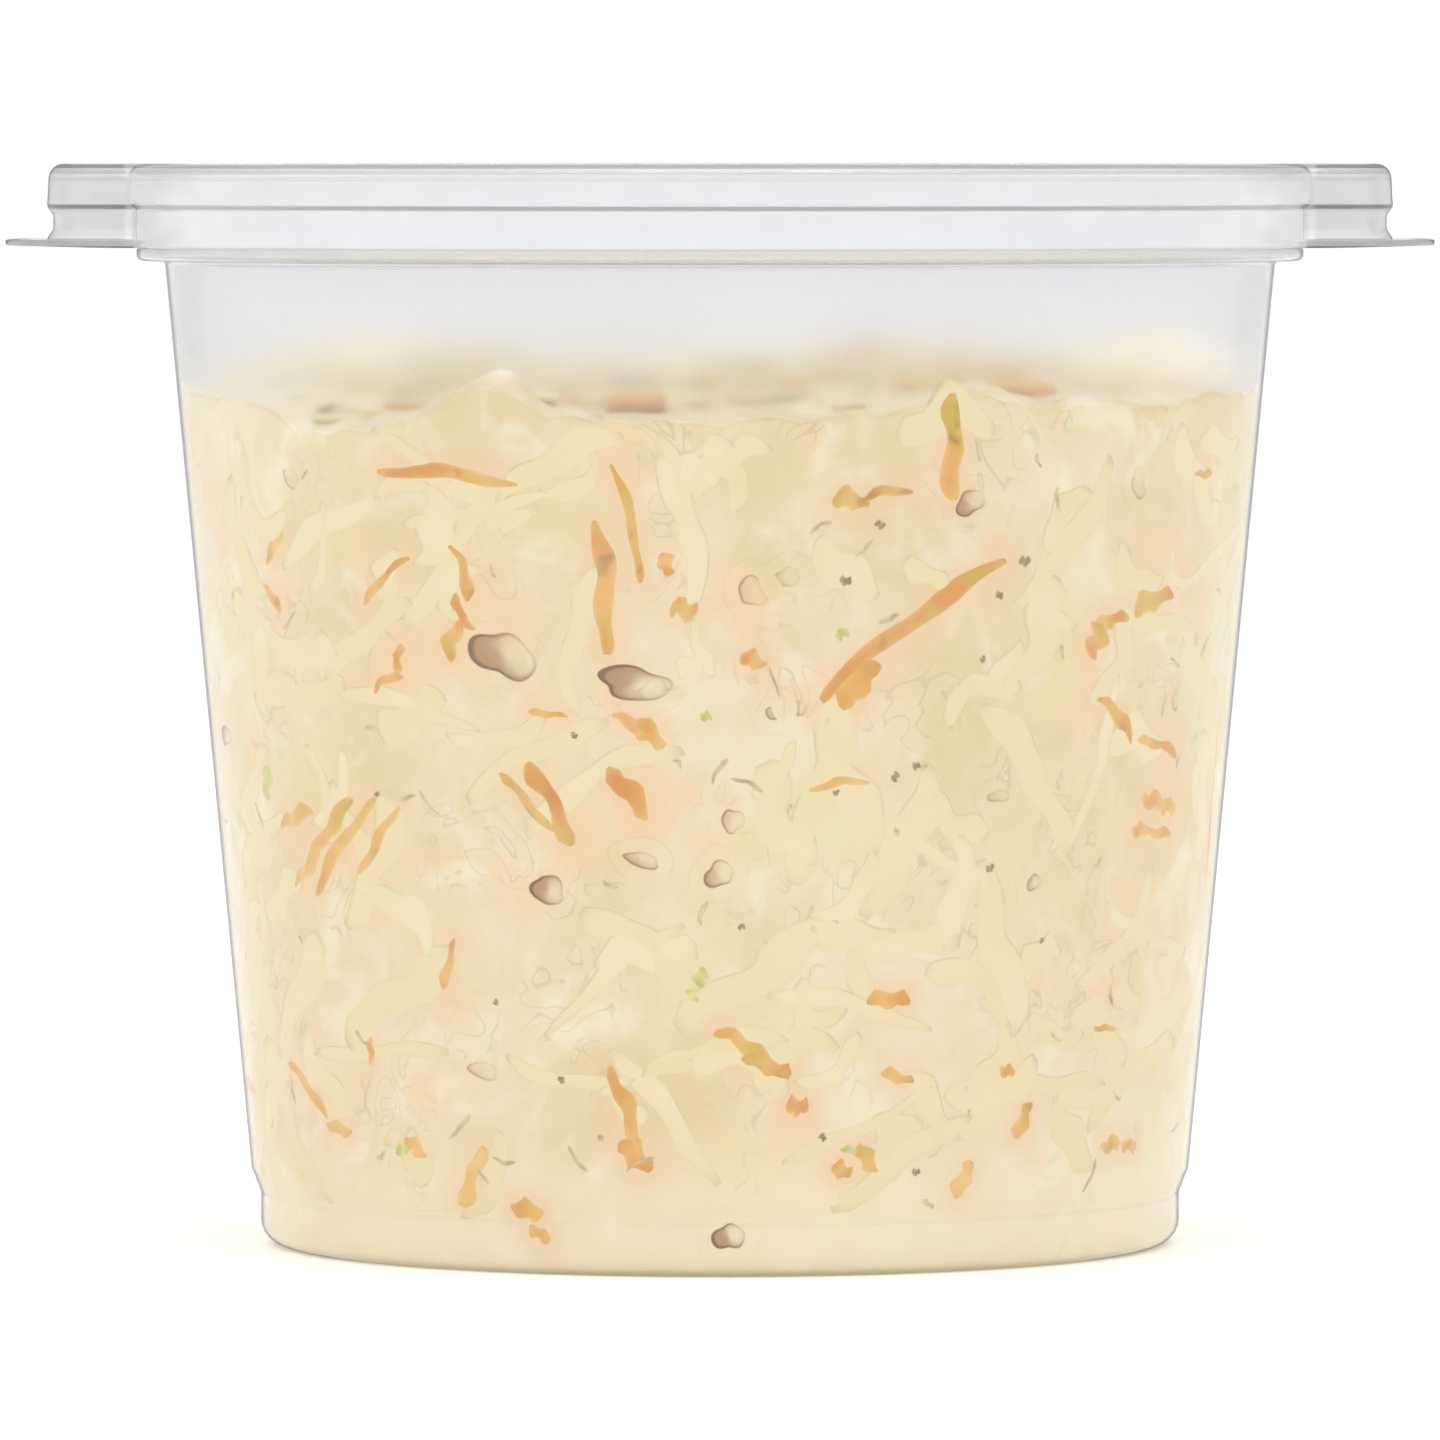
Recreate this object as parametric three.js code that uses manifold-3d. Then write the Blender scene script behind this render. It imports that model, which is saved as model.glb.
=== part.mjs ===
// A round clear deli tub of coleslaw with its press-on lid.
//
// Millimetres, +Z up. The origin is the middle of the base, at the height of the surface the tub
// stands on. -Y is the front and the lid's two finger tabs point along +X and -X.
//
//   cup       tapered thin-walled tub with a stepped foot, a shoulder ring and an upright collar
//   lid       dished press-on lid with a skirt, two hollow ears and a thin tab round each ear
//   coleslaw  the salad, one heap: a creamy core with the shreds that show fused on

import * as THREE from 'three';
import { mergeVertices } from 'three/addons/utils/BufferGeometryUtils.js';
import Module from 'manifold-3d';

const wasm = await Module();
wasm.setup();

// ---------------------------------------------------------------- driving dimensions

const CLEARANCE = 0.35;          // air left between pieces that touch
const ROUND_SIDES = 40;          // flat sides round the tub and lid
const FACET_SAG = 0.1;           // how far those flats cut in from a true circle, less the corners' share
const CORNER_STEPS = 4;          // flats in each rounded corner
const CUTTER_OVERLAP = 1;        // how far a cutter reaches past what it cuts
const WELD_DISTANCE = 1e-4;

// The tub. Radii are to the outside of the wall.
const TUB_WALL = 0.8;
const FOOT_RADIUS = 40.8;
const FOOT_CORNER = 2.2;
const FOOT_STEP_LOW = 4.6;       // the foot is upright up to here
const FOOT_STEP_HIGH = 6.8;      // and the tapered wall starts here
const BASE_RISE = 1.0;           // the middle of the base stands clear of the table
const BASE_RING_RADIUS = 34;     // inner edge of the flat ring that the tub stands on
const BASE_RAMP = 2;             // width of the ramp up to the raised middle
const WALL_FOOT_RADIUS = 41.65;
const WALL_TOP_RADIUS = 49.2;
const SHOULDER_HEIGHT = 87.2;    // underside of the ring below the lid
const RING_RADIUS = 51.7;
const RING_HEIGHT = 0.8;
const COLLAR_RADIUS = 51.15;     // upright collar that the lid's skirt grips
const COLLAR_TOP = 94.85;

// The lid.
const LID_WALL = 0.6;
const LID_TOP = 95.8;
const SKIRT_RADIUS = 52.1;
const SKIRT_BOTTOM = 88.35;
const BEAD_HEIGHT = 92.0;        // the band above this line stands slightly proud
const BEAD_DEPTH = 0.6;
const LID_FILLET = 1.5;
const RIM_LAND_RADIUS = 50.2;    // inner edge of the flat land round the lid's top
const DISH_RADIUS = 37;          // the flat middle of the lid, a shallow dish
const DISH_DEPTH = 1.35;
const DISH_SIDE = [[0.75, 0.4], [0.4, 0.8], [0, 1]];  // shares of the way out and of the depth

// The lid's two ears and their tabs.
const EAR_TIP = 59.45;           // furthest reach of an ear along X
const EAR_ROOT = 50.6;
const EAR_HALF_WIDTH = 9;
const EAR_CORNER = 4.5;
const EAR_WAIST = 0.55;          // how far the ear pulls in below the bead
const EAR_WAIST_EASE = 0.8;      // height over which it pulls in and comes out again
const EAR_FOOT_RISE = 0.1;       // the ear's foot is this far above the skirt's
const EAR_DRAFT = 0.2;           // how far it leans in up to its rounded top
const EAR_TOP_ROUND = [[0.45, 0.6], [0, 1.65]];  // drop below the top, and how far it pulls in
const TAB_TIP = 63.1;
const TAB_ROOT = 48;
const TAB_HALF_WIDTH = 13.5;
const TAB_CORNER = 8;
const TAB_TOP = 89.1;
const TAB_TIP_THICKNESS = 0.5;

// The salad.
const CORE_SIDES = 40;
const SALAD_LEVEL = 76.6;        // mean height of its top
const SALAD_BACK_RISE = 1.9;     // the top is higher at the back and lower in front by this much
const TOP_RIPPLE = { height: 0.45, alongX: 0.33, startX: 1.1, alongY: 0.29, startY: -0.4 };
const CORE_DEPTH = 1.1;          // the cream lies this far inside the shreds at the wall
const CORE_RIPPLE = { depth: 0.3, lobes: 5, rise: 0.21, counterLobes: 3, counterRise: 0.33 };
const CORE_FLOOR_FLARE = 0.5;    // the cream's floor reaches this far past the ramp of the base
const CORE_EDGE_DROP = 1.2;      // roundness of the cream's upper edge
const CORE_LOWEST_ROW = 3;
const CORE_WALL_ROWS = [13, 68]; // lowest and highest row of the tapered part
const CORE_WALL_STEP = 6.875;
const CORE_TOP_SHARES = [1, 0.94, 0.84, 0.7, 0.54, 0.36, 0.18];  // rings of the top
const SHRED_ROOT = 2.1;          // how deep a wall shred reaches inwards
const SHRED_STEPS = 3;
const SHRED_END_WIDTH = 0.55;    // width of a wall shred's ends, as a share of its middle
const SHRED_SEED = 20417;
const GOLDEN_TURN = 137.508;     // degrees between neighbours of an even scatter

// Shreds scattered round the wall. Pairs are the least and the most.
const WALL_SCATTER = {
  count: 46,
  jitter: 12,
  heights: [8, 70],
  ceiling: 72,
  length: [6, 16],
  width: [1.2, 3],
  tilt: [-80, 80],
  levelled: 0.15,                // share of its tilt that a shred keeps where there is no room for it
  bow: [-0.3, 0.7],
};

// Shreds that lie on top. Some are lifted at one end.
const TOP_SCATTER = {
  count: 38,
  margin: 1.5,
  length: [7, 16],
  halfWidth: [0.7, 1.5],
  halfThickness: 0.75,
  arch: 0.5,
  lie: 0.15,
  liftedShare: 0.3,
  lifted: [0, 2.6],
  resting: [0, 0.4],
  pivot: 0.3,                    // where along the shred it stays at its own height
};

// Mounds and hollows of the salad's top: x, y, height, spread.
const MOUNDS = [
  [39, 6, 4.2, 9],
  [-31, 18, 3.2, 8],
  [-19, -40, 3.0, 4],
  [-33, -33, -2.4, 8],
  [-4, -42, -0.9, 10],
  [8, 6, 1.6, 13],
  [20, 30, 1.2, 10],
  [-14, -8, -1.4, 11],
  [22, -38, 1.6, 5],
];

// The main carrot shreds seen through the front of the wall:
// azimuth from the front, height, length, width, tilt from level, bow.
const FRONT_SHREDS = [
  [-30, 68.8, 14, 1.3, -4, 0.4],
  [-10, 65.1, 10.5, 1.0, -78, 0.3],
  [-12.7, 59.6, 11.5, 2.0, -88, 0.2],
  [-38, 59.9, 7, 1.2, 39, 0.3],
  [-29, 58.2, 9, 1.4, -80, 1.6],
  [-38, 51.9, 5.5, 1.1, 41, 0.9],
  [21.4, 55.9, 20.5, 2.0, 35, 0.8],
  [15.7, 67.1, 8, 1.3, -11, 0.6],
  [24.8, 70.8, 9, 2.2, -88, 0],
  [52, 56.6, 8.5, 2.0, 13, 0.3],
  [45.8, 54.9, 4.5, 2.2, 40, 0],
  [53.7, 46.2, 14, 1.5, -18, 0.4],
  [58.8, 40, 9, 1.3, -2, 0.2],
  [-21.4, 41.1, 7, 1.1, -48, 0],
  [-19.2, 40.8, 8, 1.8, -62, 0.2],
  [-10.3, 41.9, 5.5, 2.0, -51, 0],
  [-9, 47.4, 5, 1.8, -24, 0.2],
  [-54.2, 38.6, 8.5, 1.4, 17, 0.3],
  [-48.3, 36.9, 12.5, 1.8, 40, 0.3],
  [-41.5, 37.4, 8, 1.5, 41, 0],
  [-32.8, 26.9, 4.6, 1.1, 70, 0],
  [-59, 14.2, 11, 1.4, -24, 0.3],
  [-11.1, 13.5, 10, 2.0, -66, 0.4],
  [3.5, 19, 8.3, 1.8, -27, 0.4],
  [19.7, 23.9, 4, 1.7, -1, 0],
  [38.7, 13.1, 3.4, 1.6, 65, 0],
  [57.5, 10.2, 7, 1.4, -5, 0],
];

// ---------------------------------------------------------------- geometry helpers

const radians = THREE.MathUtils.degToRad;
const between = ([least, most], share) => least + (most - least) * share;

// The same stream of numbers from 0 to 1 every time for one seed, by the mulberry32 mixing steps.
function seededRandom(seed) {
  let state = seed >>> 0;
  return () => {
    state = (state + 0x6d2b79f5) >>> 0;
    let mixed = Math.imul(state ^ (state >>> 15), 1 | state);
    mixed = (mixed + Math.imul(mixed ^ (mixed >>> 7), 61 | mixed)) ^ mixed;
    return ((mixed ^ (mixed >>> 14)) >>> 0) / 2 ** 32;
  };
}

// Points of a round corner in a profile, as (radius, height), with angles in degrees.
function corner(centreRadius, centreHeight, radius, from, to) {
  const points = [];
  for (let step = 0; step <= CORNER_STEPS; step += 1) {
    const angle = radians(from + (to - from) * step / CORNER_STEPS);
    const across = centreRadius + radius * Math.cos(angle);
    const up = centreHeight + radius * Math.sin(angle);
    points.push(new THREE.Vector2(across, up));
  }
  return points;
}

// A round solid about Z from a profile of (radius, height) points.
function turned(profile) {
  const points = profile.map((point) => (point.isVector2 ? point : new THREE.Vector2(...point)));
  const geometry = new THREE.LatheGeometry(points, ROUND_SIDES);
  geometry.rotateX(Math.PI / 2);
  return geometry;
}

// A closed solid through rings of points. Each ring runs counter-clockwise as seen from the
// ring after it, and the first and last ring are closed about their middle.
function stacked(rings) {
  const sides = rings[0].length;
  const positions = [];
  const indices = [];
  const middle = (ring) => {
    const sum = new THREE.Vector3();
    ring.forEach((point) => sum.add(point));
    return sum.divideScalar(sides);
  };
  rings.flat().forEach((point) => positions.push(point.x, point.y, point.z));
  for (let ring = 0; ring + 1 < rings.length; ring += 1) {
    for (let side = 0; side < sides; side += 1) {
      const next = (side + 1) % sides;
      const low = ring * sides;
      const high = low + sides;
      indices.push(low + side, low + next, high + next);
      indices.push(low + side, high + next, high + side);
    }
  }
  const first = rings.length * sides;
  const last = first + 1;
  [rings[0], rings[rings.length - 1]].forEach((ring) => positions.push(...middle(ring).toArray()));
  const top = first - sides;
  for (let side = 0; side < sides; side += 1) {
    const next = (side + 1) % sides;
    indices.push(first, next, side);
    indices.push(last, top + side, top + next);
  }
  const geometry = new THREE.BufferGeometry();
  geometry.setAttribute('position', new THREE.Float32BufferAttribute(positions, 3));
  geometry.setIndex(indices);
  return geometry;
}

// A closed geometry as a solid that can be joined and cut.
function solid(geometry) {
  const bare = geometry.clone();
  bare.deleteAttribute('normal');
  bare.deleteAttribute('uv');
  const merged = mergeVertices(bare, WELD_DISTANCE);
  return new wasm.Manifold(new wasm.Mesh({
    numProp: 3,
    vertProperties: new Float32Array(merged.attributes.position.array),
    triVerts: new Uint32Array(merged.index.array),
  }));
}

// A named mesh from a joined solid.
function piece(name, shape, material) {
  const mesh = shape.getMesh();
  const geometry = new THREE.BufferGeometry();
  geometry.setAttribute('position', new THREE.Float32BufferAttribute(mesh.vertProperties, 3));
  geometry.setIndex(Array.from(mesh.triVerts));
  geometry.computeVertexNormals();
  const named = new THREE.Mesh(geometry, material);
  named.name = name;
  return named;
}

// The outer skin alone: gaps sealed inside are filled and loose scraps are dropped.
function outerSkin(shape) {
  const parts = shape.decompose();
  return parts.reduce((largest, part) => (part.volume() > largest.volume() ? part : largest));
}

// ---------------------------------------------------------------- cup

function cupShape() {
  const inner = (radius) => radius - TUB_WALL;
  const shoulderTop = SHOULDER_HEIGHT + TUB_WALL;
  const ringTop = SHOULDER_HEIGHT + RING_HEIGHT;
  const footCentre = FOOT_RADIUS - FOOT_CORNER;
  const rimRadius = TUB_WALL / 2;
  const outside = [
    [0, BASE_RISE],
    [BASE_RING_RADIUS - BASE_RAMP, BASE_RISE],
    [BASE_RING_RADIUS, 0],
    ...corner(footCentre, FOOT_CORNER, FOOT_CORNER, -90, 0),
    [FOOT_RADIUS, FOOT_STEP_LOW],
    [WALL_FOOT_RADIUS, FOOT_STEP_HIGH],
    [WALL_TOP_RADIUS, SHOULDER_HEIGHT],
    ...corner(RING_RADIUS - RING_HEIGHT, ringTop, RING_HEIGHT, -90, 0),
    [COLLAR_RADIUS, ringTop],
  ];
  const rim = corner(COLLAR_RADIUS - rimRadius, COLLAR_TOP - rimRadius, rimRadius, 0, 180);
  const inside = [
    [inner(COLLAR_RADIUS), shoulderTop],
    [inner(WALL_TOP_RADIUS), shoulderTop],
    [inner(WALL_FOOT_RADIUS), FOOT_STEP_HIGH],
    [inner(FOOT_RADIUS), FOOT_STEP_LOW],
    ...corner(footCentre, FOOT_CORNER, FOOT_CORNER - TUB_WALL, 0, -90),
    [BASE_RING_RADIUS, TUB_WALL],
    [BASE_RING_RADIUS - BASE_RAMP, BASE_RISE + TUB_WALL],
    [0, BASE_RISE + TUB_WALL],
  ];
  return solid(turned([...outside, ...rim, ...inside]));
}

// ---------------------------------------------------------------- lid

// The lid's round body, solid below its skin, with every wall pulled in by inset.
function lidRound(inset, bottom) {
  const top = LID_TOP - inset;
  const skirt = SKIRT_RADIUS - inset;
  const band = skirt + BEAD_DEPTH;
  const fillet = LID_FILLET - inset;
  const filletCentre = SKIRT_RADIUS + BEAD_DEPTH - LID_FILLET;
  const dishRun = RIM_LAND_RADIUS - DISH_RADIUS;
  const dished = ([out, drop]) => [DISH_RADIUS + dishRun * out, top - DISH_DEPTH * drop];
  return solid(turned([
    [0, bottom],
    [skirt, bottom],
    [skirt, BEAD_HEIGHT - BEAD_DEPTH],
    [band, BEAD_HEIGHT],
    ...corner(filletCentre, LID_TOP - LID_FILLET, fillet, 0, 90),
    [RIM_LAND_RADIUS, top],
    ...DISH_SIDE.map(dished),
    [0, top - DISH_DEPTH],
  ]));
}

// Plan outline of an ear or a tab that points along +X, counter-clockwise from above.
function tongue(root, tip, halfWidth, cornerRadius) {
  const centreX = tip - cornerRadius;
  const centreY = halfWidth - cornerRadius;
  return [
    new THREE.Vector2(root, -halfWidth),
    ...corner(centreX, -centreY, cornerRadius, -90, 0),
    ...corner(centreX, centreY, cornerRadius, 0, 90),
    new THREE.Vector2(root, halfWidth),
  ];
}

// One ear, with its waist, bead and rounded top, pulled in by inset. Its foot is at bottom.
function earRound(inset, bottom) {
  const top = LID_TOP - inset;
  const levels = [
    [bottom, 0],
    [TAB_TOP, 0],
    [TAB_TOP + EAR_WAIST_EASE, EAR_WAIST],
    [BEAD_HEIGHT - EAR_WAIST_EASE, EAR_WAIST],
    [BEAD_HEIGHT, 0],
    [LID_TOP - LID_FILLET, EAR_DRAFT],
    ...EAR_TOP_ROUND.map(([drop, pull]) => [top - drop, pull]),
  ];
  const rings = levels.map(([height, pull]) => {
    const all = inset + pull;
    const outline = tongue(EAR_ROOT, EAR_TIP - all, EAR_HALF_WIDTH - all, EAR_CORNER - all);
    return outline.map((point) => new THREE.Vector3(point.x, point.y, height));
  });
  return solid(stacked(rings));
}

// The thin finger tab round an ear. It is thinnest at its tip.
function tabShape() {
  const outline = tongue(TAB_ROOT, TAB_TIP, TAB_HALF_WIDTH, TAB_CORNER);
  const tipBottom = TAB_TOP - TAB_TIP_THICKNESS;
  const underside = (x) => {
    const share = Math.max(0, (x - SKIRT_RADIUS) / (TAB_TIP - SKIRT_RADIUS));
    return THREE.MathUtils.lerp(SKIRT_BOTTOM, tipBottom, share);
  };
  const low = outline.map(({ x, y }) => new THREE.Vector3(x, y, underside(x)));
  const high = outline.map(({ x, y }) => new THREE.Vector3(x, y, TAB_TOP));
  return solid(stacked([low, high]));
}

function lidShape() {
  const below = SKIRT_BOTTOM - CUTTER_OVERLAP;
  const ear = earRound(0, SKIRT_BOTTOM + EAR_FOOT_RISE);
  const side = ear.add(tabShape()).subtract(earRound(LID_WALL, below));
  const otherSide = side.rotate([0, 0, 180]);
  const outside = lidRound(0, SKIRT_BOTTOM).add(side).add(otherSide);
  return outside.subtract(lidRound(LID_WALL, below));
}

// ---------------------------------------------------------------- coleslaw

// Inside radius of the tub at a height, less the air gap.
function fillRadius(height) {
  const wallShare = (height - FOOT_STEP_HIGH) / (SHOULDER_HEIGHT - FOOT_STEP_HIGH);
  const stepShare = (height - FOOT_STEP_LOW) / (FOOT_STEP_HIGH - FOOT_STEP_LOW);
  const outside = height > FOOT_STEP_HIGH
    ? THREE.MathUtils.lerp(WALL_FOOT_RADIUS, WALL_TOP_RADIUS, wallShare)
    : THREE.MathUtils.lerp(FOOT_RADIUS, WALL_FOOT_RADIUS, Math.max(0, stepShare));
  return outside - TUB_WALL - CLEARANCE - FACET_SAG;
}

// A point inside the tub: azimuth in radians from the front, height, and depth behind the wall.
function atWall(azimuth, height, depth) {
  const radius = fillRadius(height) - depth;
  return new THREE.Vector3(radius * Math.sin(azimuth), -radius * Math.cos(azimuth), height);
}

// Height of the salad's top at a place in plan.
function topHeight(x, y) {
  const slope = SALAD_BACK_RISE * y / WALL_TOP_RADIUS;
  const { height: rippleHeight, alongX, startX, alongY, startY } = TOP_RIPPLE;
  const ripple = rippleHeight * Math.sin(x * alongX + startX) * Math.cos(y * alongY + startY);
  const mounds = MOUNDS.reduce((sum, [mx, my, height, spread]) => {
    const distance = Math.hypot(x - mx, y - my) / spread;
    return sum + height * Math.exp(-distance * distance);
  }, 0);
  return SALAD_LEVEL + slope + ripple + mounds;
}

// How far the cream sinks in between the shreds at the wall.
function coreRipple(turn, height) {
  const { depth, lobes, rise, counterLobes, counterRise } = CORE_RIPPLE;
  const climbing = Math.sin(lobes * turn + rise * height);
  const falling = Math.cos(counterLobes * turn - counterRise * height);
  return depth * climbing * falling;
}

// The cream under and between the shreds.
function coreShape() {
  const floor = BASE_RISE + TUB_WALL + CLEARANCE;
  const footFloor = TUB_WALL + CLEARANCE;
  const rings = [];
  const ringAt = (pointAt) => {
    const ring = [];
    for (let side = 0; side < CORE_SIDES; side += 1) {
      ring.push(pointAt(2 * Math.PI * side / CORE_SIDES));
    }
    rings.push(ring);
  };
  const flat = (radius, height) => ringAt((turn) => (
    new THREE.Vector3(radius * Math.sin(turn), -radius * Math.cos(turn), height)
  ));
  flat(BASE_RING_RADIUS - BASE_RAMP, floor);
  flat(BASE_RING_RADIUS + CORE_FLOOR_FLARE, footFloor);
  flat(FOOT_RADIUS - FOOT_CORNER - CORE_DEPTH, footFloor);
  const wallHeights = [CORE_LOWEST_ROW, FOOT_STEP_LOW, FOOT_STEP_HIGH];
  const [lowestRow, highestRow] = CORE_WALL_ROWS;
  for (let height = lowestRow; height <= highestRow; height += CORE_WALL_STEP) {
    wallHeights.push(height);
  }
  wallHeights.forEach((height) => ringAt((turn) => (
    atWall(turn, height, CORE_DEPTH + coreRipple(turn, height))
  )));
  CORE_TOP_SHARES.forEach((share) => ringAt((turn) => {
    const edge = fillRadius(SALAD_LEVEL) - CORE_DEPTH;
    const x = share * edge * Math.sin(turn);
    const y = -share * edge * Math.cos(turn);
    const drop = share === 1 ? CORE_EDGE_DROP : 0;
    return new THREE.Vector3(x, y, topHeight(x, y) - drop);
  }));
  return solid(stacked(rings));
}

// A four-sided strip through stations, each with its middle, its half width and half thickness
// as vectors. across x out points along the strip.
function strip(stations) {
  const rings = stations.map(({ middle, across, out }) => {
    const at = (a, b) => middle.clone().addScaledVector(across, a).addScaledVector(out, b);
    return [at(1, -1), at(1, 1), at(-1, 1), at(-1, -1)];
  });
  return solid(stacked(rings));
}

// A shred pressed flat against the wall. Azimuth and tilt are in degrees.
function wallShred([azimuth, height, length, width, tilt, bow]) {
  const along = new THREE.Vector2(Math.cos(radians(tilt)), Math.sin(radians(tilt)));
  const sideways = new THREE.Vector2(-along.y, along.x);
  const rings = [];
  for (let step = 0; step < SHRED_STEPS; step += 1) {
    const share = step / (SHRED_STEPS - 1);
    const reach = (share - 0.5) * length;
    const sag = bow * (1 - 4 * (share - 0.5) ** 2);
    const half = width / 2 * between([SHRED_END_WIDTH, 1], Math.sin(Math.PI * share));
    const corners = [[1, SHRED_ROOT], [1, 0], [-1, 0], [-1, SHRED_ROOT]];
    rings.push(corners.map(([sign, depth]) => {
      const u = along.x * reach + sideways.x * (sag + sign * half);
      const v = along.y * reach + sideways.y * (sag + sign * half);
      return atWall(radians(azimuth) + u / fillRadius(height), height + v, depth);
    }));
  }
  return solid(stacked(rings));
}

// Shreds spread evenly round the rest of the wall, in a seeded scatter.
function scatteredWallShreds(random) {
  const { count, jitter, heights, ceiling, length, width, tilt, levelled, bow } = WALL_SCATTER;
  const shreds = [];
  for (let index = 0; index < count; index += 1) {
    const azimuth = index * GOLDEN_TURN + jitter * random();
    const height = between(heights, (index + 0.5) / count);
    const ownLength = between(length, random());
    const ownWidth = between(width, random());
    const wanted = between(tilt, random());
    const room = Math.min(height - FOOT_STEP_HIGH, ceiling - height);
    const needed = Math.abs(Math.sin(radians(wanted))) * ownLength / 2;
    const ownTilt = room > needed ? wanted : wanted * levelled;
    shreds.push(wallShred([azimuth, height, ownLength, ownWidth, ownTilt, between(bow, random())]));
  }
  return shreds;
}

// One shred on top. It starts round its place in plan and is pushed in where it overhangs edge.
function topShred(place, heading, length, half, lift, edge) {
  const { arch, lie, pivot, halfThickness } = TOP_SCATTER;
  const up = new THREE.Vector3(0, 0, 1);
  const forward = new THREE.Vector3(Math.cos(heading), Math.sin(heading), 0);
  const across = up.clone().cross(forward).multiplyScalar(half);
  const out = up.clone().multiplyScalar(halfThickness);
  const stations = [];
  for (let step = 0; step < SHRED_STEPS; step += 1) {
    const share = step / (SHRED_STEPS - 1);
    const middle = place.clone().addScaledVector(forward, length * (share - 0.5));
    const bend = arch * Math.sin(Math.PI * share) + lift * (share - pivot);
    middle.z = topHeight(middle.x, middle.y) + lie + bend;
    stations.push({ middle, across, out });
  }
  const reaches = stations.map(({ middle }) => Math.hypot(middle.x, middle.y));
  const overhang = Math.max(0, Math.max(...reaches) + half - edge);
  const inwards = place.clone().normalize().multiplyScalar(-overhang);
  stations.forEach(({ middle }) => middle.add(inwards));
  return strip(stations);
}

// Shreds that lie across the top, some with an end sticking up.
function topShreds(random) {
  const { count, margin, length, halfWidth, liftedShare, lifted, resting } = TOP_SCATTER;
  const edge = fillRadius(SALAD_LEVEL) - margin;
  const shreds = [];
  for (let index = 0; index < count; index += 1) {
    const reach = edge * Math.sqrt((index + 0.5) / count);
    const turn = radians(index * GOLDEN_TURN);
    const place = new THREE.Vector3(reach * Math.sin(turn), -reach * Math.cos(turn), 0);
    const heading = 2 * Math.PI * random();
    const ownLength = between(length, random());
    const half = between(halfWidth, random());
    const lift = between(random() < liftedShare ? lifted : resting, random());
    shreds.push(topShred(place, heading, ownLength, half, lift, edge));
  }
  return shreds;
}

function coleslawShape() {
  const random = seededRandom(SHRED_SEED);
  const pieces = [coreShape()];
  pieces.push(...FRONT_SHREDS.map(wallShred));
  pieces.push(...scatteredWallShreds(random));
  pieces.push(...topShreds(random));
  return outerSkin(wasm.Manifold.union(pieces));
}

// ---------------------------------------------------------------- materials and model

const clearPlastic = { color: 0xe6e8ea, roughness: 0.18, metalness: 0, transparent: true, opacity: 0.35 };
const cupMaterial = new THREE.MeshStandardMaterial(clearPlastic);
const lidMaterial = new THREE.MeshStandardMaterial(clearPlastic);
const saladMaterial = new THREE.MeshStandardMaterial({ color: 0xead9ae, roughness: 0.55, metalness: 0 });

const model = new THREE.Group();
model.add(piece('cup', cupShape(), cupMaterial));
model.add(piece('lid', lidShape(), lidMaterial));
model.add(piece('coleslaw', coleslawShape(), saladMaterial));

export default model;
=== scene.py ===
"""A clear lidded deli tub of creamy coleslaw: smooth moulded tub and lid, and the salad shred by shred.

Blender 4.5. The frame is in metres, +Z up. Sizes below are in millimetres and turned to metres by MM.
"""

import math
import random

import bpy
import numpy as np
from mathutils import Euler, Matrix, Vector


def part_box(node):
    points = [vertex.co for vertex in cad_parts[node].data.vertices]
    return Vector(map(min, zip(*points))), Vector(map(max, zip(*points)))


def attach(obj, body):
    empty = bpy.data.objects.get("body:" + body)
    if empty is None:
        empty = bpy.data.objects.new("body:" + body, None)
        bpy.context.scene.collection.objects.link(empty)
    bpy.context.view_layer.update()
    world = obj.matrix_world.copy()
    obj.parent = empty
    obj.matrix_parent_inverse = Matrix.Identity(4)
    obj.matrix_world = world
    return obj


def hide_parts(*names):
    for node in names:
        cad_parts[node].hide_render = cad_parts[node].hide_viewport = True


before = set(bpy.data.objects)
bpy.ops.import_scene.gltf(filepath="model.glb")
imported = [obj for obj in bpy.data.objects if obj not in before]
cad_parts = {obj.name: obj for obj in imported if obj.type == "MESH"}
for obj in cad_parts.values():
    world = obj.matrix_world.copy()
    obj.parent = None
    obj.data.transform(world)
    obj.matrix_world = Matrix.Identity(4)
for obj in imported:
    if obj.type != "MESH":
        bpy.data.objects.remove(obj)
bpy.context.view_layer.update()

bl_info = {
    "name": "Tub of Coleslaw",
    "version": (1, 0, 0),
    "blender": (4, 5, 0),
    "location": "3D View > Sidebar > Coleslaw",
    "description": "Builds a clear lidded tub of coleslaw, its lights and its camera",
    "category": "Object",
}

# ---------------------------------------------------------------- sizes

MM = 0.001
CUP_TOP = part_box("cup")[1].z / MM
LID_LOW, LID_HIGH = (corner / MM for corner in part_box("lid"))

TUB_WALL = 0.8
FOOT_RADIUS = 40.8
FOOT_CORNER = 2.2
FOOT_STEP_LOW = 4.6
FOOT_STEP_HIGH = 6.8
BASE_RISE = 1.0
BASE_RING_RADIUS = 34.0
BASE_RAMP = 2.0
WALL_FOOT_RADIUS = 41.65
WALL_TOP_RADIUS = 49.2
SHOULDER_HEIGHT = 87.2
RING_RADIUS = 51.7
RING_HEIGHT = 1.1
COLLAR_RADIUS = 51.15
COLLAR_TOP = CUP_TOP

LID_WALL = 0.6
LID_TOP = LID_HIGH.z
SKIRT_BOTTOM = LID_LOW.z
SKIRT_RADIUS = 52.1
BEAD_HEIGHT = 92.0
BEAD_DEPTH = 0.6
BEAD_RAMP = (-0.3, 0.25)         # the ledge under the lid's upper band slopes between these
LID_FILLET = 1.5
RIM_LAND_RADIUS = 50.2
DISH_RADIUS = 37.0
DISH_DEPTH = 1.35
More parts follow.
